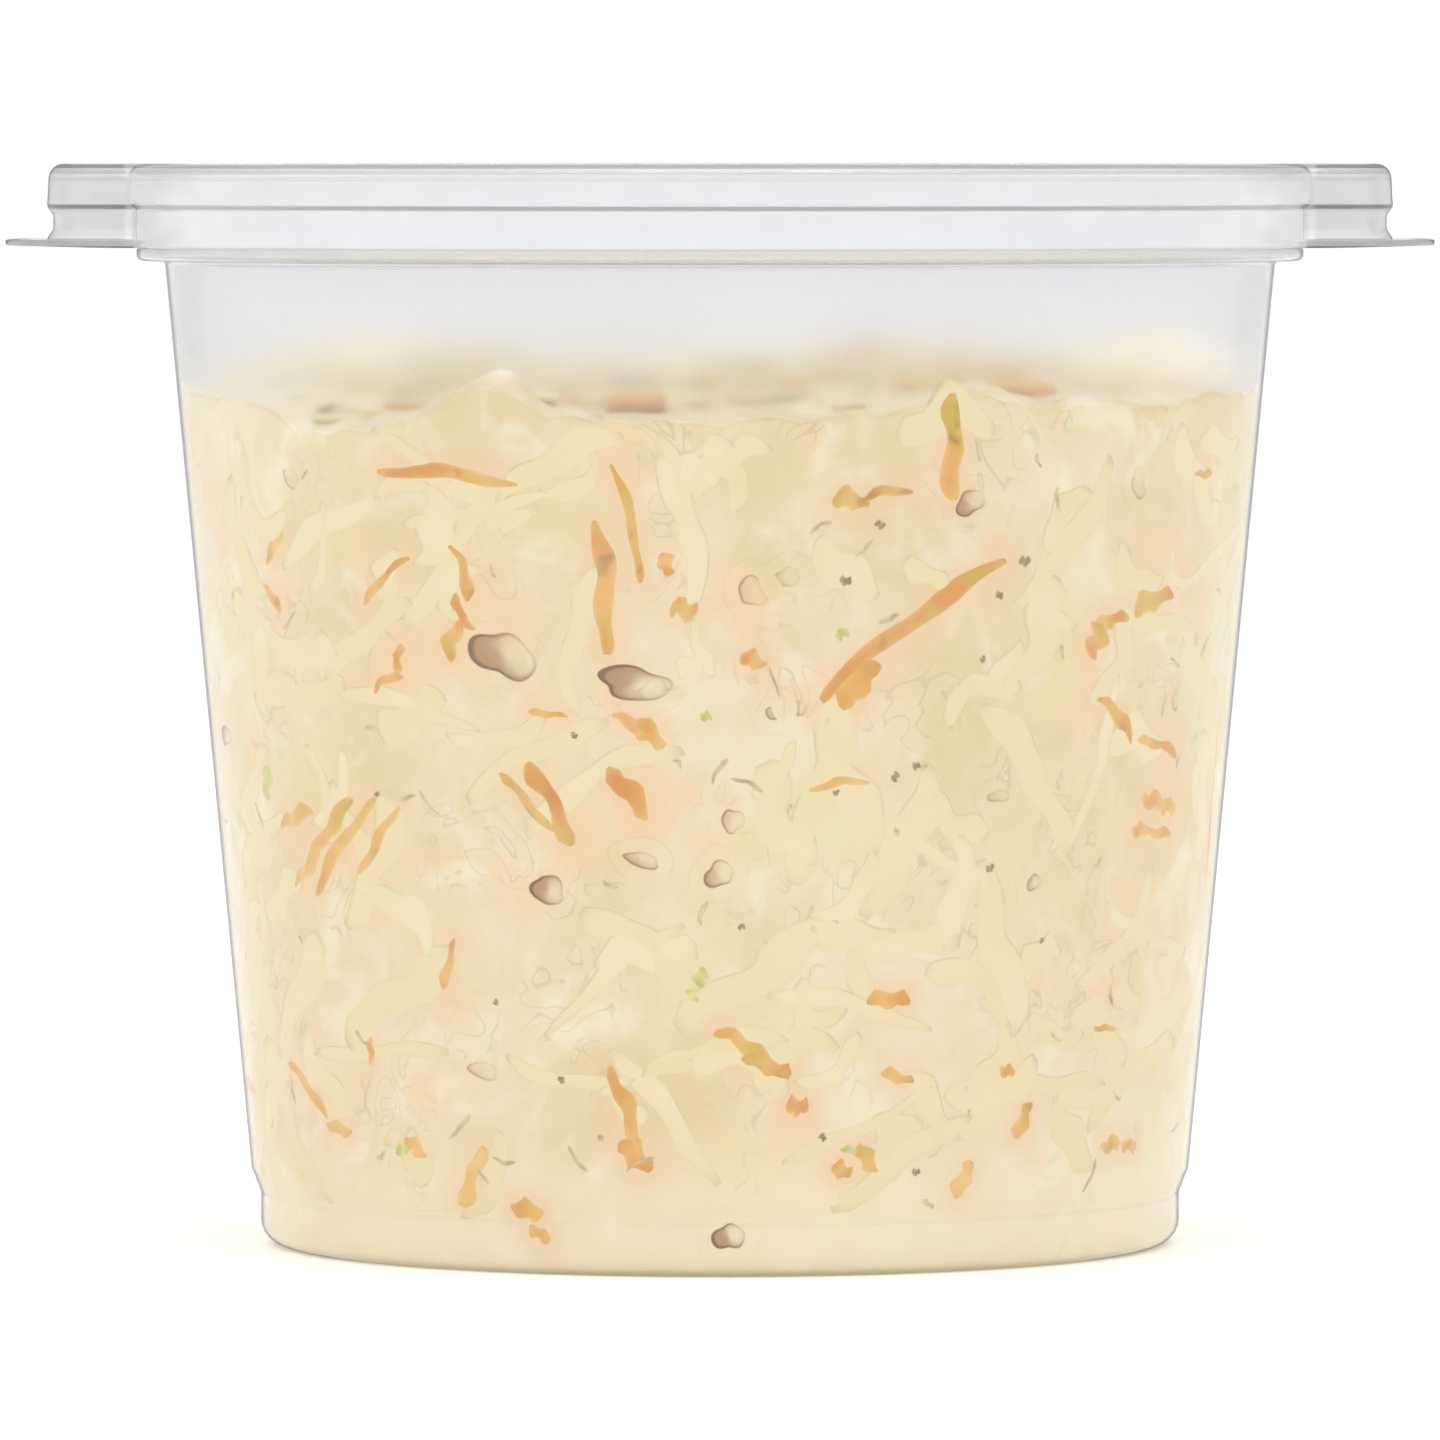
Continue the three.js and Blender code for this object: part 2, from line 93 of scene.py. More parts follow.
# The dished lid from the rim inwards: share of the run left, share of the depth, radius of the bend.
DISH_STEPS = ((0.75, 0.4, 8), (0.4, 0.8, 20), (0, 1, 20))

EAR_TIP = 59.45
EAR_ROOT = 50.6
EAR_HALF_WIDTH = 9.0
EAR_CORNER = 4.5
EAR_WAIST = 0.55
TAB_TIP = LID_HIGH.x
TAB_ROOT = 48.0
TAB_HALF_WIDTH = 13.5
TAB_CORNER = 8.0
TAB_TOP = 89.1
TAB_TIP_THICKNESS = 0.5
TAB_EDGE = 0.16
# A finger tab's rounded edge from the bottom up: share of TAB_EDGE pulled in, share of the thickness.
TAB_LEVELS = ((1, 0), (0.3, 0.12), (0, 0.3), (0, 0.7), (0.3, 0.88), (1, 1))

SALAD_LEVEL = 76.6
SALAD_BACK_RISE = 1.9
INTO_WALL = 0.3                  # how far the salad reaches into the tub's wall, so no air shows
INTO_BASE = 0.2                  # and into its base
INTO_CORNER = 0.15               # and into the corner between them
RIM_DROP = 0.4                   # the cream's rim lies this far under its top surface
RIM_ROUNDING = 0.25
RIPPLE_HEIGHT = 0.45
LUMP_HEIGHT = 0.42
POCKET_DENT = 0.55               # the cream sinks from this far outside an air pocket's edge
POCKET_BACK = 0.3                # the pocket's lining is this thick behind the hollow
BEHIND_POCKET = 0.35             # and the cream sinks this far behind it
STAIN_REACH = 1.3                # how far a carrot shred tints the cream round it

# Mounds and dips of the top: x, y, height, spread.
MOUNDS = (
    (39, 6, 4.2, 9),
    (-31, 18, 3.2, 8),
    (-19, -40, 3.0, 4),
    (-33, -33, -2.4, 8),
    (-4, -42, -0.9, 10),
    (8, 6, 1.6, 13),
    (20, 30, 1.2, 10),
    (-14, -8, -1.4, 11),
    (22, -38, 1.6, 5),
)

# Carrot shreds pressed against the front of the wall:
# azimuth from the front, height, length, width, tilt, bow, veil of cream over it (0 to 1).
FRONT_CARROTS = (
    (-30.1, 68.8, 13.9, 1.3, -4, 0.5, 0.25),
    (-9.9, 65.1, 10.4, 0.9, -78, 0.5, 0.1),
    (-12.7, 59.6, 11.5, 1.9, -88, 0.3, 0.2),
    (-5.7, 61.6, 2.0, 1.4, -80, 0.0, 0.3),
    (-3.8, 57.8, 2.2, 2.0, -19, 0.0, 0.3),
    (3.6, 53.4, 2.2, 1.5, -29, 0.0, 0.3),
    (-38.4, 59.9, 6.7, 0.9, 39, 0.4, 0.3),
    (-28.9, 60.7, 5.0, 1.2, -75, 0.6, 0.2),
    (-28.4, 57.4, 3.6, 1.0, -60, -0.5, 0.2),
    (-29.6, 54.9, 3.8, 1.6, 62, 0.5, 0.3),
    (-56.1, 62.4, 3.9, 0.9, 40, 0.2, 0.6),
    (-57.4, 58.0, 3.4, 1.0, -43, 0.2, 0.5),
    (-37.2, 53.2, 2.6, 1.0, 75, 0.2, 0.3),
    (-38.9, 50.9, 3.6, 0.9, 20, 0.6, 0.4),
    (21.4, 55.9, 20.4, 1.7, 35, 0.9, 0.0),
    (15.2, 51.2, 5.0, 2.6, 47, 0.3, 0.0),
    (13.8, 66.9, 3.2, 1.7, -14, 0.3, 0.2),
    (17.6, 67.3, 4.8, 0.9, 8, 0.6, 0.2),
    (24.8, 71.6, 9.2, 2.1, -88, 0.0, 0.1),
    (54.8, 57.6, 6.0, 2.0, 12, 0.5, 0.25),
    (47.6, 56.4, 4.2, 1.4, 8, 0.0, 0.35),
    (45.2, 54.6, 3.0, 2.6, 60, 0.0, 0.3),
    (49.2, 47.6, 6.4, 1.5, -38, 0.6, 0.2),
    (58.0, 45.0, 7.0, 1.1, -12, 0.3, 0.35),
    (57.6, 40.4, 3.4, 1.6, -2, 0.0, 0.45),
    (61.4, 39.8, 2.8, 1.6, -6, 0.0, 0.45),
    (55.6, 37.9, 2.4, 1.3, 4, 0.0, 0.45),
    (59.6, 37.5, 4.6, 1.0, -4, 0.0, 0.5),
    (-21.9, 41.1, 6.8, 1.0, -48, 0.0, 0.35),
    (-19.2, 40.9, 8.0, 1.8, -62, 0.3, 0.1),
    (-10.3, 41.9, 5.5, 1.9, -50, 0.3, 0.1),
    (-9.2, 47.7, 4.4, 1.5, -24, 0.2, 0.35),
    (-7.6, 46.7, 2.8, 1.2, -30, 0.0, 0.3),
    (-19.0, 48.7, 3.5, 0.6, -5, 0.0, 0.2),
    (-56.2, 38.9, 5.4, 1.5, 17, 0.2, 0.55),
    (-50.2, 37.6, 9.6, 1.6, 42, 0.3, 0.4),
    (-47.6, 36.6, 12.2, 1.3, 44, 0.4, 0.45),
    (-41.9, 37.4, 7.9, 1.2, 50, 0.0, 0.6),
    (-54.8, 34.5, 5.0, 1.4, 35, 0.0, 0.6),
    (-32.8, 26.9, 4.6, 0.9, 70, 0.0, 0.5),
    (-45.4, 18.9, 2.4, 0.9, -88, 0.0, 0.5),
    (-58.6, 15.0, 7.4, 1.1, -38, 0.3, 0.5),
    (-52.4, 11.9, 3.6, 1.2, -10, 0.0, 0.6),
    (-11.4, 14.7, 7.4, 1.5, -72, 0.3, 0.25),
    (-10.0, 10.6, 3.6, 2.0, -50, 0.0, 0.1),
    (2.2, 20.3, 4.6, 1.6, -32, 0.3, 0.25),
    (5.4, 18.4, 4.4, 1.9, -26, 0.2, 0.05),
    (9.1, 14.9, 1.9, 1.6, -6, 0.0, 0.0),
    (19.7, 23.9, 3.9, 1.6, -1, 0.2, 0.1),
    (21.2, 17.3, 3.1, 1.1, -17, 0.0, 0.3),
    (14.6, 9.3, 1.8, 1.5, -31, 0.0, 0.15),
    (17.7, 10.3, 2.9, 1.5, -59, 0.0, 0.3),
    (35.9, 17.5, 1.7, 1.2, -5, 0.0, 0.2),
    (38.7, 13.1, 3.4, 1.5, 65, 0.0, 0.4),
    (51.5, 20.7, 3.2, 0.7, -3, 0.0, 0.3),
    (54.6, 10.4, 2.8, 1.4, 10, 0.0, 0.5),
    (58.8, 10.1, 2.6, 1.2, -5, 0.0, 0.5),
    (-24.0, 5.7, 2.9, 1.8, -9, 0.0, 0.35),
    (-22.6, 3.6, 2.2, 1.2, -29, 0.0, 0.5),
    (63.0, 68.8, 3.4, 0.9, -1, 0.0, 0.3),
    (76.0, 40.0, 15.0, 0.6, -86, 0.0, 0.35),
    (13.3, 42.5, 5.3, 0.9, 8, 0.4, 0.6),
    (-31.0, 8.4, 5.9, 1.6, 64, 0.0, 0.85),
    (30.4, 8.2, 3.4, 1.6, 60, 0.0, 0.8),
    (-39.2, 10.7, 2.6, 1.5, -42, 0.0, 0.6),
)

# Carrot shreds that lie on top where they show from the front: x, y, length, heading.
TOP_CARROTS = (
    (-7.2, -37.0, 5.0, 0.2),
    (26.0, -31.0, 6.0, 2.6),
)
TOP_CARROT_LIFT = 0.9
TOP_CARROT_WIDTH = 2.4
TOP_CARROT_THICKNESS = 1.5

# Air pockets against the front of the wall:
# azimuth, height, half width, half height, tilt, depth, painted shade of the hollow (0 to 1).
FRONT_POCKETS = (
    (-24.0, 53.7, 2.9, 2.0, -22, 1.7, 0.9),
    (-9.2, 51.4, 3.1, 1.4, -2, 1.6, 1.0),
    (-19.7, 33.5, 1.5, 1.2, -50, 1.3, 0.9),
    (-0.1, 35.0, 1.25, 1.05, 10, 0.8, 0.6),
    (-8.7, 36.2, 1.6, 0.6, -8, 0.5, 0.5),
    (1.1, 3.6, 1.25, 1.15, 0, 1.2, 0.95),
    (27.2, 66.8, 1.25, 1.1, 40, 1.2, 0.8),
    (3.5, 59.3, 1.3, 1.2, 0, 0.5, 0.35),
    (7.2, 60.5, 1.0, 0.9, 0, 0.3, 0.25),
    (5.9, 49.0, 0.7, 0.65, 0, 0.4, 0.4),
    (8.4, 49.3, 0.75, 0.65, 0, 0.4, 0.45),
    (1.4, 39.6, 0.85, 1.1, 20, 0.5, 0.45),
    (50.3, 68.2, 0.9, 1.4, 30, 0.4, 0.3),
    (32.6, 41.4, 1.0, 0.5, 0, 0.4, 0.3),
    (-28.8, 17.7, 1.3, 0.8, 0, 0.3, 0.3),
    (-74.0, 45.6, 1.4, 0.9, 0, 0.7, 0.6),
    (38.2, 33.8, 0.7, 0.7, 0, 0.5, 0.5),
    (61.0, 49.0, 0.7, 0.7, 0, 0.5, 0.4),
    (-52.0, 68.6, 1.2, 0.7, -20, 0.3, 0.25),
)

# Specks of seed and pepper at the front of the wall: azimuth, height, radius.
FRONT_SPECKS = (
    (17.0, 65.0, 0.42),
    (13.4, 60.2, 0.5),
    (34.3, 61.7, 0.55),
    (31.3, 58.8, 0.4),
    (19.6, 43.3, 0.42),
    (22.1, 44.2, 0.36),
    (29.6, 53.3, 0.3),
    (-16.1, 46.9, 0.32),
    (12.2, 12.2, 0.36),
    (24.0, 9.0, 0.36),
    (-18.8, 17.1, 0.36),
    (31.9, 35.2, 0.42),
    (2.4, 30.5, 0.3),
    (12.9, 42.0, 0.3),
    (-41.6, 41.4, 0.28),
    (-26.7, 23.7, 0.26),
    (39.8, 28.7, 0.26),
)

# Green flakes at the front of the wall: azimuth, height, half length, half width, tilt.
FRONT_GREENS = (
    (-2.1, 26.1, 0.85, 0.6, 70),
    (-3.2, 24.5, 0.7, 0.35, -50),
    (13.2, 55.6, 0.55, 0.5, 30),
    (-1.5, 48.5, 0.5, 0.4, 0),
    (15.5, 11.0, 0.8, 0.35, -10),
    (-62.0, 41.8, 1.5, 0.9, 70),
    (-41.1, 10.4, 0.9, 0.5, 10),
)

# Strips of cabbage that show at the front of the wall as faint outlines:
# azimuth, height, length, width, tilt, bow.
FRONT_CABBAGE = (
    (-2.5, 52.9, 3.6, 1.8, 24, 0.3),
    (2.2, 17.5, 9.0, 2.6, -18, 1.6),
    (-8.5, 27.8, 9.0, 3.2, 4, 0.6),
    (3.5, 44.5, 9.0, 2.8, -62, -2.0),
    (14.0, 34.0, 8.0, 2.4, 50, -1.6),
    (8.6, 60.6, 4.5, 2.6, -10, 0.8),
    (-2.0, 69.0, 8.0, 4.0, 40, 1.2),
    (12.6, 19.0, 7.0, 2.0, 42, -1.4),
    (30.0, 49.5, 8.0, 2.6, 15, 1.6),
    (40.0, 65.0, 7.0, 3.0, 60, 1.2),
    (-40.0, 30.0, 9.0, 3.0, -30, 2.0),
    (-60.0, 52.0, 9.0, 2.8, 75, 1.2),
    (30.0, 24.0, 10.0, 3.0, -30, 2.0),
    (-26.0, 22.0, 9.0, 2.4, 20, -1.6),
    (24.0, 14.0, 8.0, 2.6, -65, 1.6),
    (-70.0, 28.0, 8.0, 2.6, 60, 1.0),
)

# Even scatters: a turn and a share of the way that never come round to the same place again.
GOLDEN_TURN = math.radians(137.508)
GOLDEN_SHARE = 0.618034
ROUND_SIDES = 256
FRONT_EDGE = 84                  # the listed front reaches this far round, in degrees
BACK_SPREAD = 192                # and the scatter covers the rest
SCATTER_MIDDLE = 39              # middle height of the scatter, and how far it goes up and down
SCATTER_ROOM = 33
CABBAGE_MIDDLE = 38.5
CABBAGE_ROOM = 35
TOP_REACH = 42                   # loose shreds on top lie within this of the axis
SUNK_BEYOND = 22                 # and sink into the cream from here outwards
SUNK_BY = 0.9
TOP_TRIES = 5                    # places tried for each loose shred wanted
WALL_GAP = 0.1                   # least air between a loose shred and the wall

# What is added to the seed, so that each scatter draws numbers of its own.
DRAWS = {"carrot places": 1, "cabbage": 2, "greens": 3, "pockets": 4, "carrot shapes": 5}

# Pressed shreds of each kind: thickness behind the salad's side, how proud they stand of it.
PRESSED_CARROT = (1.1, 0.1)
PRESSED_CABBAGE = (0.7, 0.05)
PRESSED_GREEN = (0.8, 0.12)
PRESSED_SPECK = (0.6, 0.13)

# Section of a shred pressed to the wall: across (half widths), how proud or how deep, edge (0 to 1).
# Below zero is a share of how proud the shred stands, above zero a share of its thickness.
PRESSED_SECTION = (
    (-0.6, 0.9, 1),
    (0.6, 0.9, 1),
    (1, 0.18, 1),
    (0.86, -0.3, 0.9),
    (0.6, -0.75, 0.45),
    (0.25, -1, 0.05),
    (-0.25, -1, 0.05),
    (-0.6, -0.75, 0.45),
    (-0.86, -0.3, 0.9),
    (-1, 0.18, 1),
)

# Section of a loose shred: across (half widths), up (half thicknesses).
LOOSE_SECTION = (
    (-1, 0), (-0.85, -0.8), (0, -1), (0.85, -0.8),
    (1, 0), (0.85, 0.8), (0, 1), (-0.85, 0.8),
)

# Lamps: name, azimuth from the front in degrees, distance and height in metres, size, its setting.
LAMPS = (
    ("softbox -1", -118, 0.6, 0.16, (0.35, 0.7), "softbox_light"),
    ("softbox 1", 118, 0.6, 0.16, (0.35, 0.7), "softbox_light"),
    ("front fill", -14, 1.6, 0.9, (1.0, 0.8), "fill_light"),
    ("top light", 0, 0.05, 1.2, (0.9, 0.9), "top_light"),
)
LAMPS_AIM = Vector((0, 0, 0.06))
FLOOR_RADII = (0.05, 1, 4, 12)   # in metres
FLOOR_SIDES = 96
SENSOR_WIDTH = 36


# ---------------------------------------------------------------- mesh helpers

def rounded(outline, steps=6):
    """A profile from corners (across, up, radius): each corner is replaced by an arc of that radius."""
    points = []
    for index, (across, up, radius) in enumerate(outline):
        here = Vector((across, up))
        if radius <= 0 or index in (0, len(outline) - 1):
            points.append(here)
            continue
        before = Vector(outline[index - 1][:2]) - here
        after = Vector(outline[index + 1][:2]) - here
        half = before.angle(after) / 2
        reach = min(radius / math.tan(half), 0.48 * before.length, 0.48 * after.length)
        true_radius = reach * math.tan(half)
        start = here + before.normalized() * reach
        end = here + after.normalized() * reach
        inwards = (before.normalized() + after.normalized()).normalized()
        centre = here + inwards * (true_radius / math.sin(half))
        first = math.atan2(start.y - centre.y, start.x - centre.x)
        last = math.atan2(end.y - centre.y, end.x - centre.x)
        sweep = (last - first + math.pi) % math.tau - math.pi
        for step in range(steps + 1):
            turn = first + sweep * step / steps
            points.append(centre + Vector((math.cos(turn), math.sin(turn))) * true_radius)
    return points


def mesh_object(name, vertices, faces, smooth_angle=None):
    """An object from vertices in millimetres, shaded smooth, with edges sharper than the angle kept."""
    mesh = bpy.data.meshes.new(name)
    mesh.from_pydata([tuple(vertex) for vertex in vertices], [], faces)
    mesh.transform(Matrix.Scale(MM, 4))
    mesh.validate()
    piece = bpy.data.objects.new(name, mesh)
    bpy.context.scene.collection.objects.link(piece)
    shade_smooth(piece, smooth_angle)
    return piece


def shade_smooth(piece, angle):
    """Shades a piece smooth. Edges sharper than the angle stay sharp, or none if it is None."""
    piece.data.polygons.foreach_set("use_smooth", [True] * len(piece.data.polygons))
    if angle is not None:
        piece.data.set_sharp_from_angle(angle=angle)


def revolve(profile):
    """Vertices and faces of a closed solid about Z from a profile that starts and ends on the axis."""
    sides = ROUND_SIDES
    vertices = []
    rings = []
    for point in profile:
        if point.x < 1e-6:
            rings.append([len(vertices)] * sides)
            vertices.append((0, 0, point.y))
            continue
        rings.append(list(range(len(vertices), len(vertices) + sides)))
        for side in range(sides):
            turn = math.tau * side / sides
            vertices.append((point.x * math.cos(turn), point.x * math.sin(turn), point.y))
    faces = []
    for low, high in zip(rings, rings[1:]):
        for side in range(sides):
            following = (side + 1) % sides
            quad = [low[side], low[following], high[following], high[side]]
            face = list(dict.fromkeys(quad))
            if len(face) > 2:
                faces.append(face)
    return vertices, faces


def stack(rings):
    """Vertices and faces of a closed solid through rings of points, with flat ends."""
    sides = len(rings[0])
    vertices = [tuple(point) for ring in rings for point in ring]
    faces = []
    for ring in range(len(rings) - 1):
        for side in range(sides):
            following = (side + 1) % sides
            low = ring * sides
            high = low + sides
            faces.append([low + side, low + following, high + following, high + side])
    faces.append(list(reversed(range(sides))))
    faces.append(list(range(len(vertices) - sides, len(vertices))))
    return vertices, faces


def boolean(target, tool, operation):
    """Joins the tool to the target, or cuts it out, and removes the tool."""
    modifier = target.modifiers.new("join", "BOOLEAN")
    modifier.object = tool
    modifier.operation = operation
    modifier.solver = "EXACT"
    depsgraph = bpy.context.evaluated_depsgraph_get()
    result = bpy.data.meshes.new_from_object(target.evaluated_get(depsgraph))
    target.modifiers.clear()
    old = target.data
    target.data = result
    bpy.data.meshes.remove(old)
    bpy.data.objects.remove(tool)


def dress(piece, node, material):
    """Gives a finished piece its material and its body, and hides the CAD part that it replaces."""
    piece.data.materials.clear()
    piece.data.materials.append(material)
    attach(piece, "root")
    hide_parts(node)


class Pile:
    """Many small closed solids in one mesh, with a tone, a veil of cream and an edge at each vertex.
    The edge mark also carries painted shade, along cabbage edges and in air pockets.
    """

    def __init__(self):
        self.vertices = []
        self.faces = []
        self.marks = {"tone": [], "veil": [], "edge": [], "stain": []}

    def add(self, shape, **marks):
        """Adds one solid. A mark is one value for all of it, or a list with one for each vertex."""
        vertices, faces = shape
        first = len(self.vertices)
        self.vertices.extend(vertices)
        self.faces.extend([[first + index for index in face] for face in faces])
        for label, values in self.marks.items():
            mark = marks.get(label, 0.0)
            values.extend(mark if isinstance(mark, list) else [mark] * len(vertices))

    def piece(self, name):
        """The pile as one object."""
        made = mesh_object(name, self.vertices, self.faces)
        for label, values in self.marks.items():
            mark_vertices(made, label, values)
        return made


def mark_vertices(piece, label, values):
    """Stores a value at each vertex, for the materials."""
    attribute = piece.data.attributes.new(label, "FLOAT", "POINT")
    attribute.data.foreach_set("value", values)


# ---------------------------------------------------------------- tub and lid shapes

def cup_profile():
    """The tub's section: up its outside from the middle of the base, and back down its inside."""
    shoulder_top = SHOULDER_HEIGHT + TUB_WALL
    ring_top = SHOULDER_HEIGHT + RING_HEIGHT
    return rounded([
        (0, BASE_RISE, 0),
        (BASE_RING_RADIUS - BASE_RAMP, BASE_RISE, 0.8),
        (BASE_RING_RADIUS, 0, 0.8),
        (FOOT_RADIUS, 0, FOOT_CORNER),
        (FOOT_RADIUS, FOOT_STEP_LOW, 1.4),
        (WALL_FOOT_RADIUS, FOOT_STEP_HIGH, 1.4),
        (WALL_TOP_RADIUS, SHOULDER_HEIGHT, 0.5),
        (RING_RADIUS, SHOULDER_HEIGHT, 0.75),
        (RING_RADIUS, ring_top, 0.2),
        (COLLAR_RADIUS, ring_top, 0.15),
        (COLLAR_RADIUS, COLLAR_TOP, 0.38),
        (COLLAR_RADIUS - TUB_WALL, COLLAR_TOP, 0.38),
        (COLLAR_RADIUS - TUB_WALL, shoulder_top, 0.9),
        (WALL_TOP_RADIUS - TUB_WALL, shoulder_top, 0.6),
        (WALL_FOOT_RADIUS - TUB_WALL, FOOT_STEP_HIGH, 1.4),
        (FOOT_RADIUS - TUB_WALL, FOOT_STEP_LOW, 1.4),
        (FOOT_RADIUS - TUB_WALL, TUB_WALL, FOOT_CORNER - TUB_WALL),
        (BASE_RING_RADIUS, TUB_WALL, 0.8),
        (BASE_RING_RADIUS - BASE_RAMP, BASE_RISE + TUB_WALL, 0.8),
        (0, BASE_RISE + TUB_WALL, 0),
    ])


def lid_profile(inset, bottom):
    """The lid's outline, filled. An inset of the wall's thickness gives the space inside it."""
    top = LID_TOP - inset
    skirt = SKIRT_RADIUS - inset
    band = skirt + BEAD_DEPTH
    dish_run = RIM_LAND_RADIUS - DISH_RADIUS
    return rounded([
        (0, bottom, 0),
        (skirt, bottom, 0.15),
        (skirt, BEAD_HEIGHT + BEAD_RAMP[0], 0.4),
        (band, BEAD_HEIGHT + BEAD_RAMP[1], 0.3),
        (band, top, LID_FILLET - inset),
        (RIM_LAND_RADIUS, top, 1.5),
        *(
            (DISH_RADIUS + run * dish_run, top - fall * DISH_DEPTH, bend)
            for run, fall, bend in DISH_STEPS
        ),
        (0, top - DISH_DEPTH, 0),
    ])


def tongue(root, tip, half_width, corner_radius, side, steps=10):
    """Plan outline of an ear or tab, counter-clockwise. side is 1 for +X and -1 for -X."""
    points = [(root, -half_width)]
    for centre_y, first in ((corner_radius - half_width, -90), (half_width - corner_radius, 0)):
        for step in range(steps + 1):
            turn = math.radians(first + 90 * step / steps)
            x = tip - corner_radius + corner_radius * math.cos(turn)
            points.append((x, centre_y + corner_radius * math.sin(turn)))
    points.append((root, half_width))
    return [(side * x, side * y) for x, y in points]


def ear_solid(name, inset, bottom, side):
    """One ear, filled. An inset of the wall's thickness gives the space inside it."""
    top = LID_TOP - inset
    levels = rounded([
        (0, bottom, 0),
        (0, TAB_TOP + 0.1, 0.6),
        (EAR_WAIST, TAB_TOP + 0.9, 0.6),
        (EAR_WAIST, BEAD_HEIGHT - 0.8, 0.5),
        (0, BEAD_HEIGHT, 0.4),
        (0.2, top, LID_FILLET),
        (LID_FILLET * 1.9, top, 0),
    ])
    rings = []
    for level in levels:
        pull = inset + level.x
        outline = tongue(EAR_ROOT, EAR_TIP - pull, EAR_HALF_WIDTH - pull, EAR_CORNER - pull, side)
        rings.append([(x, y, level.y) for x, y in outline])
    return mesh_object(name, *stack(rings))


def tab_solid(name, side):
    """One finger tab, which thins towards its tip."""
    tip_bottom = TAB_TOP - TAB_TIP_THICKNESS
    rings = []
    for pulled, share in TAB_LEVELS:
        pull = pulled * TAB_EDGE
        outline = tongue(TAB_ROOT, TAB_TIP - pull, TAB_HALF_WIDTH - pull, TAB_CORNER - pull, 1)
        ring = []
        for x, y in outline:
            slope = max(0, (x - SKIRT_RADIUS) / (TAB_TIP - SKIRT_RADIUS))
            bottom = SKIRT_BOTTOM + (tip_bottom - SKIRT_BOTTOM) * slope
            ring.append((side * x, side * y, bottom + (TAB_TOP - bottom) * share))
        rings.append(ring)
    return mesh_object(name, *stack(rings))


# ---------------------------------------------------------------- salad shapes

def wall_radius(height):
    """Outside radius of the tub's wall at a height."""
    if height >= FOOT_STEP_HIGH:
        share = (height - FOOT_STEP_HIGH) / (SHOULDER_HEIGHT - FOOT_STEP_HIGH)
        return WALL_FOOT_RADIUS + (WALL_TOP_RADIUS - WALL_FOOT_RADIUS) * share
    share = min(1, max(0, (height - FOOT_STEP_LOW) / (FOOT_STEP_HIGH - FOOT_STEP_LOW)))
    share = share * share * (3 - 2 * share)
    upright = FOOT_RADIUS + (WALL_FOOT_RADIUS - FOOT_RADIUS) * share
    below = max(0, FOOT_CORNER - height)
    return upright - FOOT_CORNER + math.sqrt(max(0, FOOT_CORNER ** 2 - below ** 2))


def salad_radius(height):
    """Radius of the salad's side, which reaches just into the wall."""
    return wall_radius(height) - TUB_WALL + INTO_WALL


def top_height(x, y):
    """Height of the cream's top at a place in plan."""
    slope = SALAD_BACK_RISE * y / WALL_TOP_RADIUS
    ripple = RIPPLE_HEIGHT * math.sin(x * 0.33 + 1.1) * math.cos(y * 0.29 - 0.4)
    lumps = LUMP_HEIGHT * math.sin(x * 0.8 + 2 * math.sin(y * 0.5))
    lumps *= math.sin(y * 0.7 + 1.5 * math.sin(x * 0.5))
    mounds = sum(
        height * math.exp(-((x - middle_x) ** 2 + (y - middle_y) ** 2) / spread ** 2)
        for middle_x, middle_y, height, spread in MOUNDS
    )
    return SALAD_LEVEL + slope + ripple + lumps + mounds


def at_wall(azimuth, height, depth):
    """A point by the wall: azimuth in radians from the front, height, depth behind the salad's side."""
    radius = salad_radius(height) - depth
    return (radius * math.sin(azimuth), -radius * math.cos(azimuth), height)


def tilted(along, across, slant):
    """How far round and how far up the wall a place on a tilted mark lies from the mark's middle."""
    cosine, sine = math.cos(slant), math.sin(slant)
    return along * cosine - across * sine, along * sine + across * cosine


def wall_shred(pile, draw, spec, pressed, stations=12):
    """A shred pressed flat against the wall, with a domed face, uneven sides and its own ends."""
    azimuth, height, length, width, tilt, bow, veil = spec
    thickness, proud = pressed
    slant = math.radians(tilt)
    radius = salad_radius(height)
    wobble = draw.uniform(0, math.tau)
    fat_end = draw.uniform(-0.25, 0.25)
    tapers = (draw.uniform(0.06, 0.3), draw.uniform(0.06, 0.3))
    own_tone = draw.random()
    rings = []
    marks = {"tone": [], "veil": [], "edge": []}
    for step in range(stations):
        share = step / (stations - 1)
        reach = (share - 0.5) * length
        ends = min(1, share / tapers[0], (1 - share) / tapers[1])
        uneven = 1 + 0.18 * math.sin(7 * share + wobble) + 0.12 * math.sin(17 * share + 3 * wobble)
        half = width / 2 * (0.35 + 0.65 * math.sqrt(ends)) * uneven * (1 + fat_end * (2 * share - 1))
        sag = bow * (1 - 4 * (share - 0.5) ** 2) + 0.14 * width * math.sin(10 * share + 2 * wobble)
        smear = veil + 0.22 * math.sin(6 * share + 2 * wobble) + 0.35 * (1 - min(1, 2.5 * ends))
        ring = []
        for across, depth, edge in PRESSED_SECTION:
            round_wall, up = tilted(reach, sag + across * half, slant)
            inward = depth * (thickness if depth > 0 else proud)
            ring.append(at_wall(math.radians(azimuth) + round_wall / radius, height + up, inward))
            marks["tone"].append(own_tone + 0.3 * math.sin(5 * share + wobble))
            marks["veil"].append(min(1, max(0, smear + 0.55 * edge ** 2)))
            # The edge mark is painted shade along cabbage edges, stronger on one side; specks blend
            # into the cream with it.
            marks["edge"].append(edge * (1 if across > 0 else 0.35))
        rings.append(ring)
    pile.add(stack(rings), **marks)


